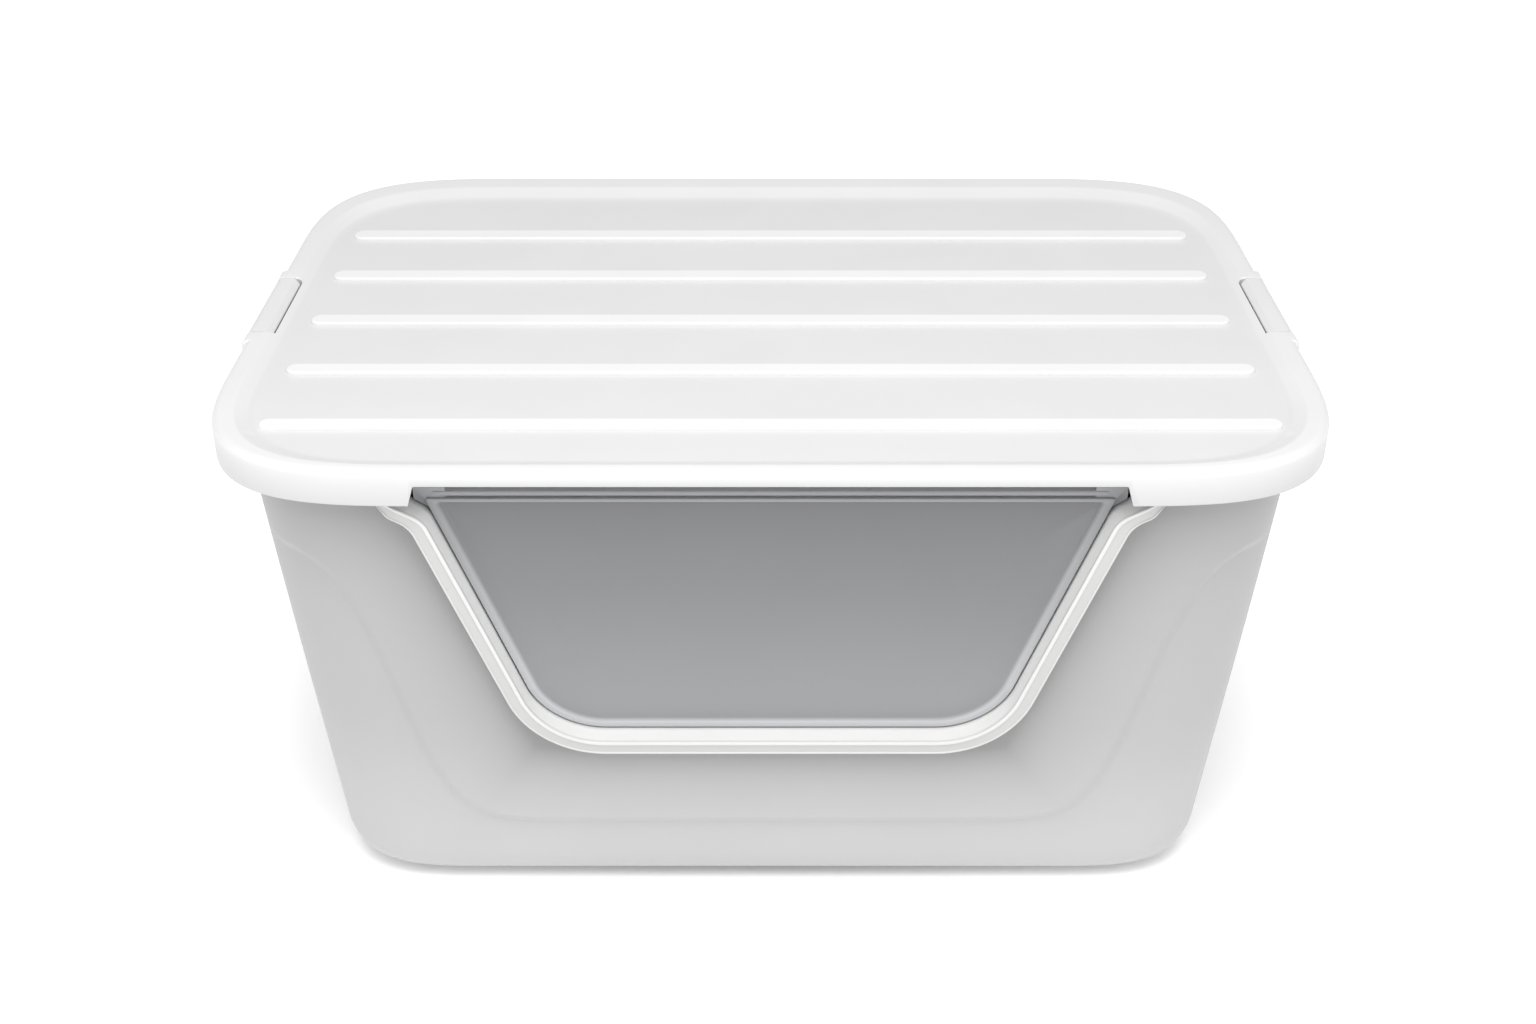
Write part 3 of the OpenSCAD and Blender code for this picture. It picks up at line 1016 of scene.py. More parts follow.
@dataclass
class EntryTrim:
    """The U-shaped channel that caps the entry's cut edge, with a bead along its inside."""

    wall: Wall
    entry: Entry
    depth: float = 7.5
    proud: float = 6.0
    sleeve: float = 2.2
    tab_size: tuple[float, float, float] = (7.0, 2.0, 1.8)
    tab_heights: tuple[float, ...] = (150.0, 200.0, 236.0)
    tab_places: tuple[float, ...] = (-60.0, 0.0, 60.0)

    def section(self) -> Array:
        """The channel in section as (out, proud), a closed outline.

        Returns:
            The section's points, n x 2.
        """
        face, top, t, depth = self.entry.face, self.proud, self.sleeve, self.depth
        corners = np.array(
            [
                [0, -depth], [0, -2.2], [0.5, 0.2], [1.25, top - 1.6], [1.2, top + 0.5],
                [3.1, top + 0.5], [3.6, top - 0.3], [face - 1.5, top - 0.4], [face - 1.2, top + 0.1],
                [face, top + 0.1], [face, 0.1],
                [face - 1.9, 0.1], [face - 2.1, top - 2.4], [t, top - 2.9], [t, -depth],
            ]
        )
        radii = np.array([0.5, 1.5, 3, 0.5, 0.7, 0.8, 0.4, 0.2, 0.3, 0.8, 0.4, 0.3, 0.8, 0.3, 0.5])
        return rounded(corners, radii, 5, closed=True)

    def tabs(self) -> list[Surface]:
        """Snap tabs on the sleeve, behind the tub's wall.

        Returns:
            A closed surface for each tab.
        """
        half, reach, thick = self.tab_size
        back = -2.75 - thick
        lean = math.atan(self.entry.lean)
        blocks = []
        box = np.array([[-1.2, -half], [reach, -half], [reach, half], [-1.2, half]])
        for v in self.tab_heights:
            for side in Side:
                cos, sin = math.cos(lean), math.sin(lean)
                turned = np.stack([box[:, 0] * cos + box[:, 1] * sin, box[:, 1] * cos - box[:, 0] * sin], 1)
                at = turned * [side.value, 1] + [side.value * self.entry.side(v, self.sleeve), v]
                blocks.append(extrude(at, back, back + thick, self.wall.place))
        for x in self.tab_places:
            at = box[:, ::-1] * [1, -1] + [x, self.entry.sill - self.sleeve]
            blocks.append(extrude(at, back, back + thick, self.wall.place))
        return blocks

    def build(self) -> list[bpy.types.Object]:
        """Sweeps the section along the entry's outline, and adds the tabs.

        Returns:
            The pieces, in the order of their dresses.
        """
        section = self.section()
        paths = [self.wall.place(mirrored(self.entry.half(out)), proud) for out, proud in section]
        piece = skin(np.stack(paths, 1)).piece("entry_channel")
        combine(piece, Join.ADD, self.tabs())
        finish_mesh(piece, self.tone)
        return [piece]

    def tone(self, points: Array) -> Array:
        """Painted light: paler everywhere but on the flat face, which lies 0.3 mm under its full height, as a
        painted highlight on the bead and painted light in the sleeve's shade.
        """
        _, proud = self.wall.coordinates(points[:, 1], points[:, 2])
        return smooth((np.abs(proud - self.proud + 0.3) - 0.2) / 0.6)


@dataclass
class Lid:
    """The lid: skirt, round edge, flat rim, soft step down to a ribbed panel."""

    frame: Frame
    skirt: float = 19.0
    skirt_wall: float = 2.8
    thickness: float = 2.6
    corner: float = 121.0
    edge_round: float = 4.0
    panel_drop: float = 3.6
    panel: tuple[float, float, float, float] = (260.5, 172.5, 101.0, -9.5)
    rim: tuple[float, float, float, float] = (270.0, 186.8, 111.0, -5.3)
    bead: tuple[float, float] = (10.0, 12.4)
    bead_gap: float = 188.0
    rib_count: int = 5
    rib_half: float = 251.5
    rib_first: float = 53.5
    rib_pitch: float = 62.0
    rib_width: float = 10.5
    rib_gain: float = 0.8
    rib_height: float = 1.9
    notch_half: float = 167.6
    notch_height: float = 10.9
    notch_lean: float = 0.3
    pocket_wall: float = 266.2
    pocket_half: float = 37.0
    pocket_corners: tuple[float, ...] = (0.6, 0.0, 0.0, 6.0)
    ear_length: float = 11.0
    # Painted shade on the skirt and painted highlight on the rim.
    skirt_tone: float = 1.15
    rim_tone: float = 0.5
    pocket_edge: float = 0.8
    lug_gap: float = 172.2
    lug_wall: float = 4.0
    lug_radius: float = 4.0
    rod_radius: float = 1.53

    @property
    def half_x(self) -> float:
        """Half the lid's width: the latch pins lie 0.3 mm inside its edge."""
        return self.frame.latch_x + 0.3

    @property
    def panel_z(self) -> float:
        """Height of the sunk panel."""
        return self.frame.top_z - self.panel_drop

    def edge_rows(self, profile: Array) -> Array:
        """Ring sizes for a profile of (inset from the lid's edge, z)."""
        inset, z = profile.T
        middle = np.zeros(len(z))
        return np.stack([self.half_x - inset, self.frame.lid_y - inset, self.corner - inset, middle, z], 1)

    def step_rows(self, lower: float, upper: float, inset: float) -> Array:
        """Ring sizes for the soft step between panel and rim.

        The sizes change evenly along the step while the height follows a straight slope
        with a wide arc at its foot and a tighter one at its head.

        Args:
            lower: The panel's height.
            upper: The rim's height.
            inset: How much smaller the rings are than those of the top face.

        Returns:
            Rows of half width, half depth, corner, middle and z, from the panel outwards.
        """
        run = 10.0
        slope = rounded(
            np.array([[-3, 0], [0.6, 0], [run - 1.2, upper - lower], [run, upper - lower]]),
            np.array([0, 12, 3.5, 0]),
            9,
        )
        share = slope[:, :1] / run
        sizes = np.array(self.panel) + (np.array(self.rim) - np.array(self.panel)) * share
        sizes[:, :3] -= inset
        return np.concatenate([sizes, lower + slope[:, 1:]], 1)

    def surface(self) -> Surface:
        """The lid's shell: rings from the middle of the panel, out and down the skirt, and
        back under it.

        Returns:
            The closed surface, before the cuts.
        """
        top, foot, t = self.frame.top_z, self.frame.top_z - self.skirt, self.skirt_wall
        under = top - self.thickness
        outside = rounded(
            np.array([[4.7, top], [0, top], [0, foot], [t, foot], [t, under], [4.9, under]]),
            np.array([0, self.edge_round, 1.0, 1.0, 1.6, 0]),
            7,
        )
        flat = [self.panel[0] - 60, self.panel[1] - 60, self.panel[2] - 60, self.panel[3]]
        upper = self.step_rows(self.panel_z, top, 0)
        lower = self.step_rows(self.panel_z - self.thickness, under, 1.0)[::-1]
        rows = [np.array([flat + [self.panel_z]]), upper, self.edge_rows(outside)]
        rows += [lower, np.array([flat + [self.panel_z - self.thickness]])]
        return skin(self.rings(np.concatenate(rows)))

    def rings(self, sizes: Array) -> Array:
        """Rings of points for rows of half width, half depth, corner, middle and z."""
        outline = Outline.of(front=60, side=40, back=40, front_corner=40, back_corner=40)
        return outline.rings(sizes[:, 0], sizes[:, 1], sizes[:, 2], sizes[:, 4], sizes[:, 3])

    def bead_ring(self) -> Surface:
        """The bead that rests on the tub's rim, swept round the lid but for the entry.

        Returns:
            The closed surface.
        """
        low, high = self.frame.rim_z, self.frame.top_z - 2.45
        inside, outside = self.bead
        section = rounded(
            np.array([[outside, high], [inside, high], [inside, low], [outside, low]]),
            np.array([0, 0, 0.6, 0.6]), 3, closed=True,
        )
        stations = self.rings(self.edge_rows(section)).transpose(1, 0, 2)
        place = stations[:, 0]
        kept = (place[:, 1] > 0) | (np.abs(place[:, 0]) > self.bead_gap)
        first = int(np.flatnonzero(kept & ~np.roll(kept, 1))[0])
        return skin(np.roll(stations, -first, 0)[: int(kept.sum())])

    def ribs(self) -> list[Surface]:
        """The raised ribs: stadium rings that follow a section with a round shoulder, and
        start a little below the panel's top.

        Returns:
            A closed surface for each rib.
        """
        z = self.panel_z
        section = rounded(
            np.array([[0, -0.9], [0, 0.1], [0.5, self.rib_height], [2.6, self.rib_height]]),
            np.array([0, 0.3, 1.1, 0]),
            6,
        )
        surfaces = []
        for k in range(self.rib_count):
            half = (self.rib_width + k * self.rib_gain) / 2
            y = self.rib_first + k * self.rib_pitch - self.frame.lid_y
            turn = np.linspace(-math.pi / 2, math.pi / 2, 25)
            arc = np.stack([np.cos(turn), np.sin(turn)], 1)
            unit = np.concatenate([arc, -arc])
            middle = np.repeat([1, -1], len(turn))[:, None] * [self.rib_half - half, 0] + [0, y]
            rings = [
                np.concatenate([middle + unit * (half - inset), np.full((len(unit), 1), z + up)], 1)
                for inset, up in section
            ]
            surfaces.append(skin(np.stack(rings)))
        return surfaces

    def openings(self) -> list[Surface]:
        """What is cut away: the notch over the entry and the latches' pockets.

        Returns:
            A closed surface for each cut.
        """
        foot = self.frame.top_z - self.skirt
        half, height = self.notch_half, self.notch_height
        wide = half + self.notch_lean * (height + 4)
        notch = rounded(
            np.array([[-wide, -4], [wide, -4], [half, height], [-half, height]]),
            np.array([0, 0, 1.0, 1.0]), 5, closed=True,
        )

        def front(outline: Array, y: float) -> Array:
            """Stands an outline up in the plane at that y."""
            return np.stack([outline[:, 0], np.full(len(outline), y), outline[:, 1] + foot], 1)

        cuts = [extrude(notch, -self.frame.lid_y - 6, -self.frame.lid_y + self.skirt_wall + 0.6, front)]
        low, high = self.frame.latch_y - self.pocket_half, self.frame.latch_y + self.pocket_half
        for side in Side:
            x, far = self.pocket_wall, self.half_x + 12
            corners = np.array([[x, low], [far, low], [far, high], [x, high]])
            plan = rounded(corners, np.array(self.pocket_corners), 6, closed=True) * [side.value, 1]
            top, edge = self.frame.top_z, self.pocket_edge
            wide = plan - [side.value * edge, 0]
            wide[:, 1] += np.where(plan[:, 1] > self.frame.latch_y, edge, -edge)
            levels = [lift(plan, foot - 3), lift(plan, top - edge), lift(wide, top), lift(wide, top + 6)]
            cuts.append(skin(np.stack(levels)))
        return cuts

    def ears(self) -> list[Surface]:
        """Pads at both ends of each pocket that hold the latch's pin: an outline in section
        along the side, with a round back, carried along the pad's length.

        Returns:
            A closed surface for each ear.
        """
        corners = [[-9.5, -4.6], [-9.5, 5.7], [-3.5, 5.95], [0.9, 5.7], [2.6, 2.6], [2.6, -2.0], [1.2, -4.6]]
        section = rounded(np.array(corners), np.array([0.5, 0.1, 3, 2.6, 2.6, 1.6, 1.2]), 5, closed=True)
        length, middle = self.ear_length, np.array([-4.0, 0.0])
        runs = np.array([0, 0.6, length - 1.6, length - 0.5, length])
        scales = 1 - np.array([0.5, 0.0, 0.0, 0.5, 1.4]) / 8
        flat = (section - middle) * scales[:, None, None] + middle
        surfaces = []
        for side in Side:
            for end in (-1, 1):
                start = self.frame.latch_y + end * self.pocket_half
                y = np.broadcast_to((start + end * runs)[:, None], flat.shape[:2])
                x = side.value * (self.frame.latch_x + flat[..., 0])
                surfaces.append(skin(np.stack([x, y, self.frame.latch_z + flat[..., 1]], 2)))
        return surfaces

    def lugs(self) -> list[Surface]:
        """Lugs under the panel that carry the rod: a round foot below a straight web.

        Returns:
            A closed surface for each lug.
        """
        y0, z0, r = self.frame.rod_y, self.frame.rod_z, self.lug_radius
        turn = np.linspace(math.pi, 2 * math.pi, 25)
        top = self.panel_z - self.thickness + 0.8 - z0
        outline = np.concatenate(
            [np.stack([np.cos(turn) * r, np.sin(turn) * r], 1), [[r, top], [r + 1.2, top + 0.1]],
             [[-r - 1.2, top + 0.1], [-r, top]]]
        )

        def across(flat: Array, x: float) -> Array:
            """Stands an outline up at that x, round the rod."""
            return np.stack([np.full(len(flat), x), y0 + flat[:, 0], z0 + flat[:, 1]], 1)

        inner, outer = self.lug_gap, self.lug_gap + self.lug_wall
        return [extrude(outline, s.value * inner, s.value * outer, across) for s in Side]

    def bores(self) -> list[Surface]:
        """The bores for the rod and for the latches' pins.

        Returns:
            A closed surface for each bore.
        """
        rod = np.array([[-self.lug_gap - 9, self.rod_radius], [self.lug_gap + 9, self.rod_radius]])
        reach = self.pocket_half + self.ear_length - 0.8
        pin = np.array([[-reach, self.rod_radius], [reach, self.rod_radius]])
        bores = [revolve(rod, np.array([0, self.frame.rod_y, self.frame.rod_z]), 0)]
        for side in Side:
            axis = [side.value * self.frame.latch_x, self.frame.latch_y, self.frame.latch_z]
            bores.append(revolve(pin, np.array(axis), 1))
        return bores

    def build(self) -> list[bpy.types.Object]:
        """Builds the lid's shell, cuts its openings, then adds its bead, ribs, ears and lugs.

        Returns:
            The pieces, in the order of their dresses.
        """
        piece = self.surface().piece("lid_shell")
        combine(piece, Join.ADD, [self.bead_ring()])
        combine(piece, Join.CUT, self.openings())
        combine(piece, Join.ADD, self.ribs() + self.ears() + self.lugs())
        combine(piece, Join.CUT, self.bores())
        finish_mesh(piece, self.tone)
        return [piece]

    def tone(self, points: Array) -> Array:
        """Painted light: paler on the ribs and a little on the rim, as a painted highlight where
        they stand over the panel, and darker on the skirt, as painted shade.

        Args:
            points: Points in millimetres, n x 3.

        Returns:
            The painted light at each point.
        """
        over = points[:, 2] - self.panel_z
        back = self.rib_first + self.rib_count * self.rib_pitch - self.frame.lid_y - 0.5 * self.rib_pitch
        on_rib = (np.abs(points[:, 0]) < self.rib_half + 1) & (points[:, 1] < back)
        on_rib &= points[:, 1] > self.rib_first - self.frame.lid_y - self.rib_width
        # Painted highlight on the ribs and the rim.
        raised = np.where(on_rib, 1.0, self.rim_tone) * smooth((over - 0.15) / 1.2)
        # Painted shade on the skirt.
        return raised - self.skirt_tone * (1 - smooth(over / 5.4 + 1))


def lift(outline: Array, z: float) -> Array:
    """A flat outline of (x, y) at height z."""
    return np.concatenate([outline, np.full((len(outline), 1), z)], 1)


@dataclass
class Flap:
    """The entry flap: a bordered panel, a beaded strip over it and the hinge's barrel."""

    frame: Frame
    wall: Wall
    entry: Entry
    gap: float = 0.95
    back: float = -7.0
    front: float = -4.6
    border: float = 1.4
    border_width: float = 4.6
    top: float = 259.6
    panel_top: float = 257.4
    barrel_radius: float = 3.2
    bore_radius: float = 1.56
    half_length: float = 171.5
    strip_half: float = 162.0
    crown_rise: float = 3.0
    crown_foot: tuple[float, float] = (116.0, 165.0)
    crown_span: tuple[float, float] = (222.0, 252.0)

    def plate(self) -> Surface:
        """The plate: rings from the middle of its back, round its edge and over the raised
        border to the middle of its panel. Each ring is an inset outline at one depth.

        Returns:
            The closed surface.
        """
        rise, edge = self.front + self.border, self.border_width
        rows = np.array(
            [
                [30, 0, self.back], [0.8, self.top - 0.8, self.back], [0.2, self.top - 0.2, self.back + 0.3],
                [0, self.top, self.back + 0.8], [0, self.top, rise - 0.8], [0.2, self.top - 0.2, rise - 0.25],
                [0.8, self.top - 0.7, rise], [edge - 1.4, self.panel_top + 0.5, rise],
                [edge - 0.9, self.panel_top + 0.3, rise - 0.12], [edge, self.panel_top, self.front + 0.65],
                [edge + 0.8, self.panel_top - 0.15, self.front + 0.12],
                [edge + 1.6, self.panel_top - 0.7, self.front], [30, 0, self.front],
            ]
        )
        rows[[0, -1], 1] = self.panel_top - 25
        rings = []
        for inset, top, depth in rows:
            outline = self.entry.plate(self.gap + inset, top)
            front = depth > self.back + 1
            rings.append(self.wall.place(outline, depth + front * self.crown(outline[:, 1])))
        return skin(np.stack(rings))

    def crown(self, v: Array) -> Array:
        """How far the plate's front swells forwards at height v: fully in the middle, and not
        at all at the sill or near its top, which has to clear the lid as it swings."""
        (low, full), (start, end) = self.crown_foot, self.crown_span
        return self.crown_rise * smooth((v - low) / (full - low)) * (1 - smooth((v - start) / (end - start)))

    def tone(self, points: Array) -> Array:
        """Painted light: paler on the raised border, in step with its height over the panel, as a painted
        highlight, and paler above the panel's top, on the strip in the lid's shade.
        """
        v, proud = self.wall.coordinates(points[:, 1], points[:, 2])
        border = smooth((proud - self.front - self.crown(v)) / (0.9 * self.border))
        # Painted light on the strip above the panel, which lies in the lid's shade.
        return np.maximum(border, smooth((v - self.panel_top) / 1.5))

    def head(self) -> list[Surface]:
        """The strip above the plate, with a bead along it, and an ear at each end.

        Returns:
            The closed surfaces.
        """
        v0, n0 = self.wall.coordinates(self.frame.rod_y, self.frame.rod_z)
        b = self.back
        corners = [
            [b - 2.4, 248], [b - 2.4, v0 - 1], [n0 + 0.6, v0 + 0.6], [n0 + 3.2, v0 - 0.6],
            [b + 0.6, v0 - 1.9], [b + 2.9, 263.3], [b + 3.0, 261.2],
            [b + 2.3, 260.6], [b + 0.9, 257.5], [b + 0.4, 248],
        ]
        radii = np.array([0.3, 0.3, 0.3, 0.6, 0.8, 1.0, 0.9, 0.5, 0, 0.3])
        strip = rounded(np.array(corners), radii, 4, closed=True)
        edge = self.half_length - 0.1
        shoulder = np.array([[self.strip_half - 6, 250], [162.4, 252.6], [edge, 258.9], [edge, v0 - 0.5],
                             [self.strip_half - 6, v0 - 0.5]])

        def across(section: Array, x: float) -> Array:
            """Places a section of (distance off the wall, height on it) at that x."""
            return self.wall.place(np.stack([np.full(len(section), x), section[:, 1]], 1), section[:, 0])

        parts = [extrude(strip, -self.strip_half, self.strip_half, across)]
        for side in Side:
            flat = shoulder * [side.value, 1]
            parts.append(extrude(flat, n0 + 0.8, self.front + 0.1, self.wall.place))
        return parts

    def barrel(self) -> Surface:
        """The hinge's barrel: a tube along the rod with rounded ends.

        Returns:
            The closed surface.
        """
        r, hole, half = self.barrel_radius, self.bore_radius, self.half_length
        section = rounded(
            np.array([[-half, hole], [-half, r], [half, r], [half, hole]]), np.array([0.3, 0.6, 0.6, 0.3]), 3,
            closed=True,
        )
        return revolve(section, np.array([0, self.frame.rod_y, self.frame.rod_z]), 0, loop=True)

    def build(self) -> list[bpy.types.Object]:
        """Joins the plate, the strip with its ears, and the barrel.

        Returns:
            The pieces, in the order of their dresses.
        """
        piece = self.plate().piece("flap_door")
        for part in self.head():
            combine(piece, Join.ADD, [part])
        bore = np.array([[-200.0, self.bore_radius], [200.0, self.bore_radius]])
        rod = np.array([0, self.frame.rod_y, self.frame.rod_z])
        combine(piece, Join.CUT, [revolve(bore, rod, 0)])
        combine(piece, Join.ADD, [self.barrel()])
        finish_mesh(piece, self.tone, crease=40)
        return [piece]


@dataclass
class HingeRod:
    """The flap's steel rod and the push-on caps at its ends."""

    frame: Frame
    radius: float = 1.5
    chamfer: float = 0.4
    cap_dome: float = 0.9

    def build(self) -> list[bpy.types.Object]:
        """Turns the rod and both caps along X.

        Returns:
            The pieces, in the order of their dresses.
        """
        low, high = self.frame.boxes["flap_rod"]
        centre = np.array([0, self.frame.rod_y, self.frame.rod_z])
        r, c = self.radius, self.chamfer
        profile = np.array([[low[0], r - c], [low[0] + c, r], [high[0] - c, r], [high[0], r - c]])
        pieces = [revolve(profile, centre, 0).piece("hinge_rod")]
        for side in Side:
            low, high = self.frame.boxes[f"{side.word}_rod_cap"]
            start, end = (low[0], high[0]) if side is Side.RIGHT else (high[0], low[0])
            out = side.value
            section = rounded(
                np.array([[start, r + 0.05], [start, 2 * r], [end, 2 * r], [end, 0.3]]),
                np.array([0, 0.4, self.cap_dome, 0]), 5,
            )
            bore = np.array([[end - out * 0.5, 0.3], [end - out * 0.5, r + 0.05]])
            cap = revolve(np.concatenate([section, bore]), centre, 0, loop=True)
            pieces.append(cap.piece(f"rod_end_{side.word}"))
        for piece in pieces:
            finish_mesh(piece)
        return pieces


@dataclass
class Latch:
    """A rocker latch and the pin it turns on, at one side of the lid."""

    frame: Frame
    side: Side
    plate_reach: float = 11.9
    leg_wall: float = 2.5
    leg_length: float = 14.5
    pin_radius: float = 1.5
    bore_radius: float = 1.56
    bead_half: float = 20.0
    edge: float = 0.7

    def section(self) -> Array:
        """The latch in section as (outwards, up) from its axis: a plate over the rim and a
        leg down the skirt that ends in a finger tab.

        Returns:
            The section's points, n x 2.
        """
        reach, t, leg = self.plate_reach, self.leg_wall, self.leg_length
        corners = np.array(
            [
                [-reach, 2.1], [-reach, 3.4], [-reach + 3.8, 5.4], [-1.2, 5.7], [1.6, 4.4], [2.7, 0],
                [t, -leg], [4.9, -20.5], [3.4, -21.4], [t - 2, -leg - 1], [0.2, -2.9], [-2.4, -1.9],
                [-3.6, 2.1],
            ]
        )
        radii = np.array([0.5, 1.2, 4.0, 3.0, 2.6, 8, 6, 0.6, 0.6, 6, 1.5, 1.2, 1.0])
        return rounded(corners, radii, 5, closed=True)

    def along(self, section: Array, y: float) -> Array:
        """A section of (outwards, up) placed at y."""
        x = self.side.value * (self.frame.latch_x + section[:, 0])
        return np.stack([x, np.full(len(section), y), self.frame.latch_z + section[:, 1]], 1)

    def build(self) -> list[bpy.types.Object]:
        """Builds the latch with its closing bead, and its pin.

        Returns:
            The pieces, in the order of their dresses.
        """
        low, high = self.frame.boxes[f"{self.side.word}_latch"]
        piece = extrude(self.section(), low[1], high[1], self.along).piece(f"latch_{self.side.word}")
        x0, z0, y0 = self.frame.latch_x, self.frame.latch_z, self.frame.latch_y
        inner, back = x0 - self.plate_reach - 1, high[1] + 1
        corner = np.array([[inner, back - 5.8], [inner + 6.2, back], [inner, back]])
        combine(piece, Join.CUT, [extrude(corner * [self.side.value, 1], z0 - 4, z0 + 8, lift)])
        bead = rounded(np.array([[-2.75, -11], [1, -9.2], [1, -12.8]]), 0.4, 3, closed=True)
        combine(piece, Join.ADD, [extrude(bead, y0 - self.bead_half, y0 + self.bead_half, self.along)])
        soften(piece, self.edge)
        axis = np.array([self.side.value * x0, y0, z0])
        bore = np.array([[low[1] - y0 - 2, self.bore_radius], [high[1] - y0 + 2, self.bore_radius]])
        combine(piece, Join.CUT, [revolve(bore, axis, 1)])
        low, high = self.frame.boxes[f"{self.side.word}_latch_pin"]
        r, c = self.pin_radius, 0.4
        ends = np.array([[low[1], r - c], [low[1] + c, r], [high[1] - c, r], [high[1], r - c]]) - [y0, 0]
        pin = revolve(ends, axis, 1).piece(f"pivot_pin_{self.side.word}")
        finish_mesh(piece)
        finish_mesh(pin)
        return [piece, pin]


@dataclass
class Foot:
    """A round rubber foot with two grooves in its underside."""

    frame: Frame
    node: str
    groove_depth: float = 0.5

    def build(self) -> list[bpy.types.Object]:
        """Turns the foot's section about its own upright axis.

        Returns:
            The pieces, in the order of their dresses.
        """
        low, high = self.frame.boxes[self.node]
        centre = np.array([(low[0] + high[0]) / 2, (low[1] + high[1]) / 2, 0])
        r, top, g = (high[0] - low[0]) / 2, high[2], self.groove_depth
        corners = np.array(
            [
                [0, 2.0], [0, 3.6], [g, 4.0], [g, 4.8], [0, 5.2], [0, 6.8], [g, 7.2], [g, 8.0],
                [0, 8.4], [0, r - 0.2], [top, r], [top, 2.0],
            ]
        )
        radii = np.array([0, 0.1, 0.1, 0.1, 0.1, 0.1, 0.1, 0.1, 0.1, 0.6, 0.2, 0])
        section = rounded(corners, radii, 3)
        piece = revolve(section, centre, 2).piece(self.node.replace("foot", "pad"))
        finish_mesh(piece)
        return [piece]


# --- the scene --------------------------------------------------------------------------


@dataclass(frozen=True)
class Dress:
    """What one piece stands for, and how it is finished."""

    body: str
    nodes: tuple[str, ...]
    slot: str
    material: bpy.types.Material

    def put_on(self, piece: bpy.types.Object) -> None:
        """Gives the piece its material, its body and the nodes it replaces.

        Args:
            piece: The piece to dress.
        """
        piece.data.materials.clear()
        piece.data.materials.append(self.material)
        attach(piece, self.body)
        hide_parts(*self.nodes)


class LampKind(Enum):
    """The kinds of light in the studio."""

    SUN = "SUN"
    BOX = "AREA"


@dataclass(frozen=True)
class Lamp:
    """One light: a sun of that strength and angle, or a soft box of that power and size."""

    name: str
    kind: LampKind
    power: float
    tilt_deg: float
    spread_deg: float = 0.0
    place: tuple[float, float, float] = (0.0, 0.0, 2.0)
    size: tuple[float, float] = (1.0, 1.0)

    def build(self) -> None:
        """Makes the light, hidden from the camera, tilted about X from pointing down."""
        data = bpy.data.lights.new(self.name, self.kind.value)
        data.energy = self.power
        if self.kind is LampKind.SUN:
            data.angle = math.radians(self.spread_deg)
        else:
            data.shape, data.size, data.size_y = "RECTANGLE", *self.size
        lamp = bpy.data.objects.new(self.name, data)
        lamp.location = self.place
        lamp.rotation_euler = (math.radians(self.tilt_deg), 0, 0)
        lamp.visible_camera = False
        bpy.context.scene.collection.objects.link(lamp)


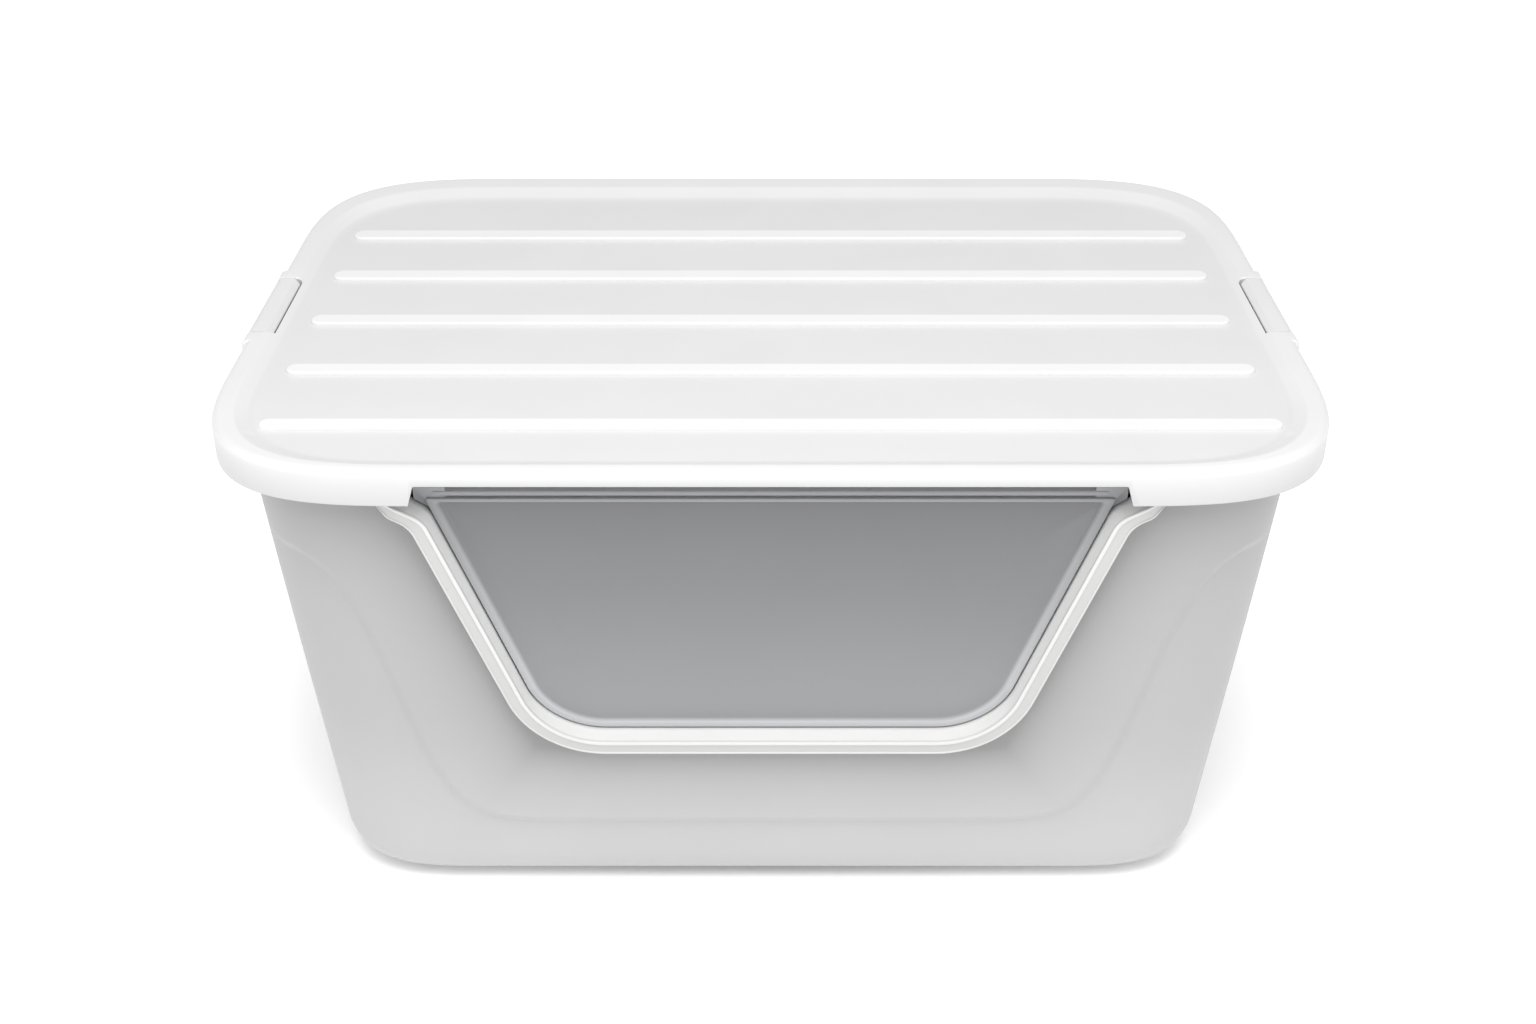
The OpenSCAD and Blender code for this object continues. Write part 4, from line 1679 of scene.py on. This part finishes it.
@dataclass(frozen=True)
class Studio:
    """A pale floor that glows, soft light from above and a camera in front of the box."""

    frame: Frame
    tilt_deg: float = 60.0
    lens: float = 44.41
    shift_x: float = -2.5 / 1536
    back_off: float = 773.2
    rise: float = 424.8
    floor_half: float = 14.0
    backdrop_radius: float = 12.0
    floor_glow: float = 0.42
    glow_span: tuple[float, float] = (-0.1, 0.7)
    surround: float = 0.43
    lamps: tuple[Lamp, ...] = (
        Lamp("overhead", LampKind.SUN, 1.25, 16, 26),
        Lamp("front_box", LampKind.BOX, 6.2, 35, place=(0, -0.75, 1.05), size=(1.4, 0.5)),
    )

    def build(self) -> None:
        """Makes the floor, the lights and the camera."""
        self.floor()
        self.backdrop()
        self.lights()
        data = bpy.data.cameras.new("camera")
        data.lens, data.sensor_width, data.shift_x = self.lens, 36.0, self.shift_x
        camera = bpy.data.objects.new("camera", data)
        y = -self.frame.lid_y - self.back_off
        camera.location = (0, y * MM, (self.frame.top_z + self.rise) * MM)
        camera.rotation_euler = (math.radians(self.tilt_deg), 0, 0)
        bpy.context.scene.collection.objects.link(camera)
        bpy.context.scene.camera = camera

    @staticmethod
    def paint(name: str, lumps: float) -> Net:
        """A matt white paint, mottled very faintly.

        Args:
            name: The material's name.
            lumps: How wide the mottle's lumps are, in millimetres.

        Returns:
            The material's nodes.
        """
        net = Net(name)
        mottle = net.blend(net.noise(lumps), rgba((0.93, 0.93, 0.93)), rgba((0.95, 0.95, 0.95)))
        net.set(Base_Color=mottle, Roughness=0.95)
        return net

    def floor(self) -> None:
        """A wide pale floor at z = 0 that glows: faintly under the box and fully from the far end of its glow
        span out, lighting the box from below.
        """
        h = self.floor_half
        mesh = bpy.data.meshes.new("floor")
        mesh.from_pydata([(-h, -h, 0), (h, -h, 0), (h, h, 0), (-h, h, 0)], [], [(0, 1, 2, 3)])
        net = self.paint("floor_paint", 400)
        reach = net.node("ShaderNodeVectorMath", {"operation": "LENGTH"}, {0: net.place})
        far = Socket(net, reach.outputs["Value"]).ramp(*self.glow_span)
        # The floor glows, though it is no lamp, fading out under the box.
        net.set(Specular_IOR_Level=0.1, Emission_Strength=self.floor_glow)
        net.set(Emission_Color=net.blend(far, rgba((0, 0, 0)), rgba((1, 1, 1))))
        mesh.materials.append(net.material)
        floor = bpy.data.objects.new("floor", mesh)
        bpy.context.scene.collection.objects.link(floor)

    def backdrop(self) -> None:
        """A white half-dome round the floor that only the camera sees: radius times the
        cosine and sine of an angle that runs from just under the floor to the top."""
        rise = np.linspace(-0.02, math.pi / 2 - 0.001, 25)
        profile = self.backdrop_radius / MM * np.stack([np.sin(rise), np.cos(rise)], 1)
        dome = revolve(profile, np.zeros(3), 2, 64).piece("backdrop")
        net = self.paint("backdrop_paint", 4000)
        net.set(Emission_Color=rgba((1, 1, 1)), Emission_Strength=1.0)
        dome.data.materials.append(net.material)
        dome.visible_diffuse = dome.visible_glossy = dome.visible_shadow = False
        dome.visible_transmission = dome.visible_volume_scatter = False

    def lights(self) -> None:
        """A wide soft overhead light, a soft box in front and a pale surround."""
        world = bpy.data.worlds.new("surround")
        world.use_nodes = True
        background = world.node_tree.nodes["Background"]
        background.inputs[0].default_value = (1, 1, 1, 1)
        background.inputs[1].default_value = self.surround
        bpy.context.scene.world = world
        for lamp in self.lamps:
            lamp.build()
        view = bpy.context.scene.view_settings
        view.view_transform, view.look = "Standard", "None"


def main() -> None:
    """Builds every sub-assembly around the frame, dresses it and sets the scene."""
    logging.basicConfig(level=logging.INFO, format="%(message)s")
    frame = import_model()
    at = Frame.read(frame)
    draft = math.radians(DRAFT_DEG)
    lip_out = Tub.lip_out + at.rim_z * math.tan(draft)
    wall = Wall(at.lip_x - lip_out, at.lip_y - lip_out, draft)
    entry = Entry()

    Studio(at).build()
    # The gains paint light and shade into these colours, and rub pales edges as wear and as a painted
    # highlight.
    tub_plastic = MouldedPlastic(
        "tub_grey", (0.497, 0.497, 0.497), 0.45, rub=0.12, tone_gain=0.26,
        foot_gain=0.18, foot_span=(0.02, 0.13),
    ).material()
    white = MouldedPlastic("lid_white", (0.76, 0.76, 0.76), 0.4, rub=0.15, tone_gain=0.17).material()
    latch_white = MouldedPlastic("latch_white", (0.79, 0.79, 0.79), 0.4, rub=0.15).material()
    trim_white = MouldedPlastic("trim_white", (0.605, 0.605, 0.598), 0.36, rub=0.5, tone_gain=0.3).material()
    flap_grey = MouldedPlastic(
        "flap_grey", (0.2, 0.202, 0.208), 0.34, rub=0.1, tone_gain=0.8,
        foot_gain=0.58, foot_span=(0.1, 0.25),
    ).material()
    rod_steel = DrawnSteel("drawn_steel", (0.62, 0.63, 0.64), (60.0, 1.0, 1.0)).material()
    pin_steel = DrawnSteel("drawn_pin_steel", (0.62, 0.63, 0.64), (1.0, 60.0, 1.0)).material()
    rubber = SoftRubber("foot_rubber", (0.05, 0.05, 0.052)).material()

    plan: list[tuple[list[bpy.types.Object], list[Dress]]] = [
        (Tub(at, wall, entry).build(), [Dress("tub", ("tub",), "tub_plastic", tub_plastic)]),
        (EntryTrim(wall, entry).build(), [Dress("tub", ("entry_trim",), "trim_plastic", trim_white)]),
        (Lid(at).build(), [Dress("lid", ("lid",), "lid_plastic", white)]),
        (Flap(at, wall, entry).build(), [Dress("flap", ("flap",), "flap_plastic", flap_grey)]),
        (
            HingeRod(at).build(),
            [
                Dress("lid", ("flap_rod",), "rod_steel", rod_steel),
                Dress("lid", ("left_rod_cap",), "cap_plastic", white),
                Dress("lid", ("right_rod_cap",), "cap_plastic", white),
            ],
        ),
    ]
    for side in Side:
        latch, pin = f"{side.word}_latch", f"{side.word}_latch_pin"
        clip = Dress(latch, (latch,), "latch_plastic", latch_white)
        plan.append((Latch(at, side).build(), [clip, Dress("lid", (pin,), "rod_steel", pin_steel)]))
    for node in at.boxes:
        if node.startswith("foot_"):
            plan.append((Foot(at, node).build(), [Dress("tub", (node,), "foot_rubber", rubber)]))
    for pieces, dresses in plan:
        for piece, dress in zip(pieces, dresses):
            dress.put_on(piece)
            LOG.info("%s rides on %s for %s", piece.name, dress.body, ", ".join(dress.nodes))


if __name__ == "__main__":
    main()
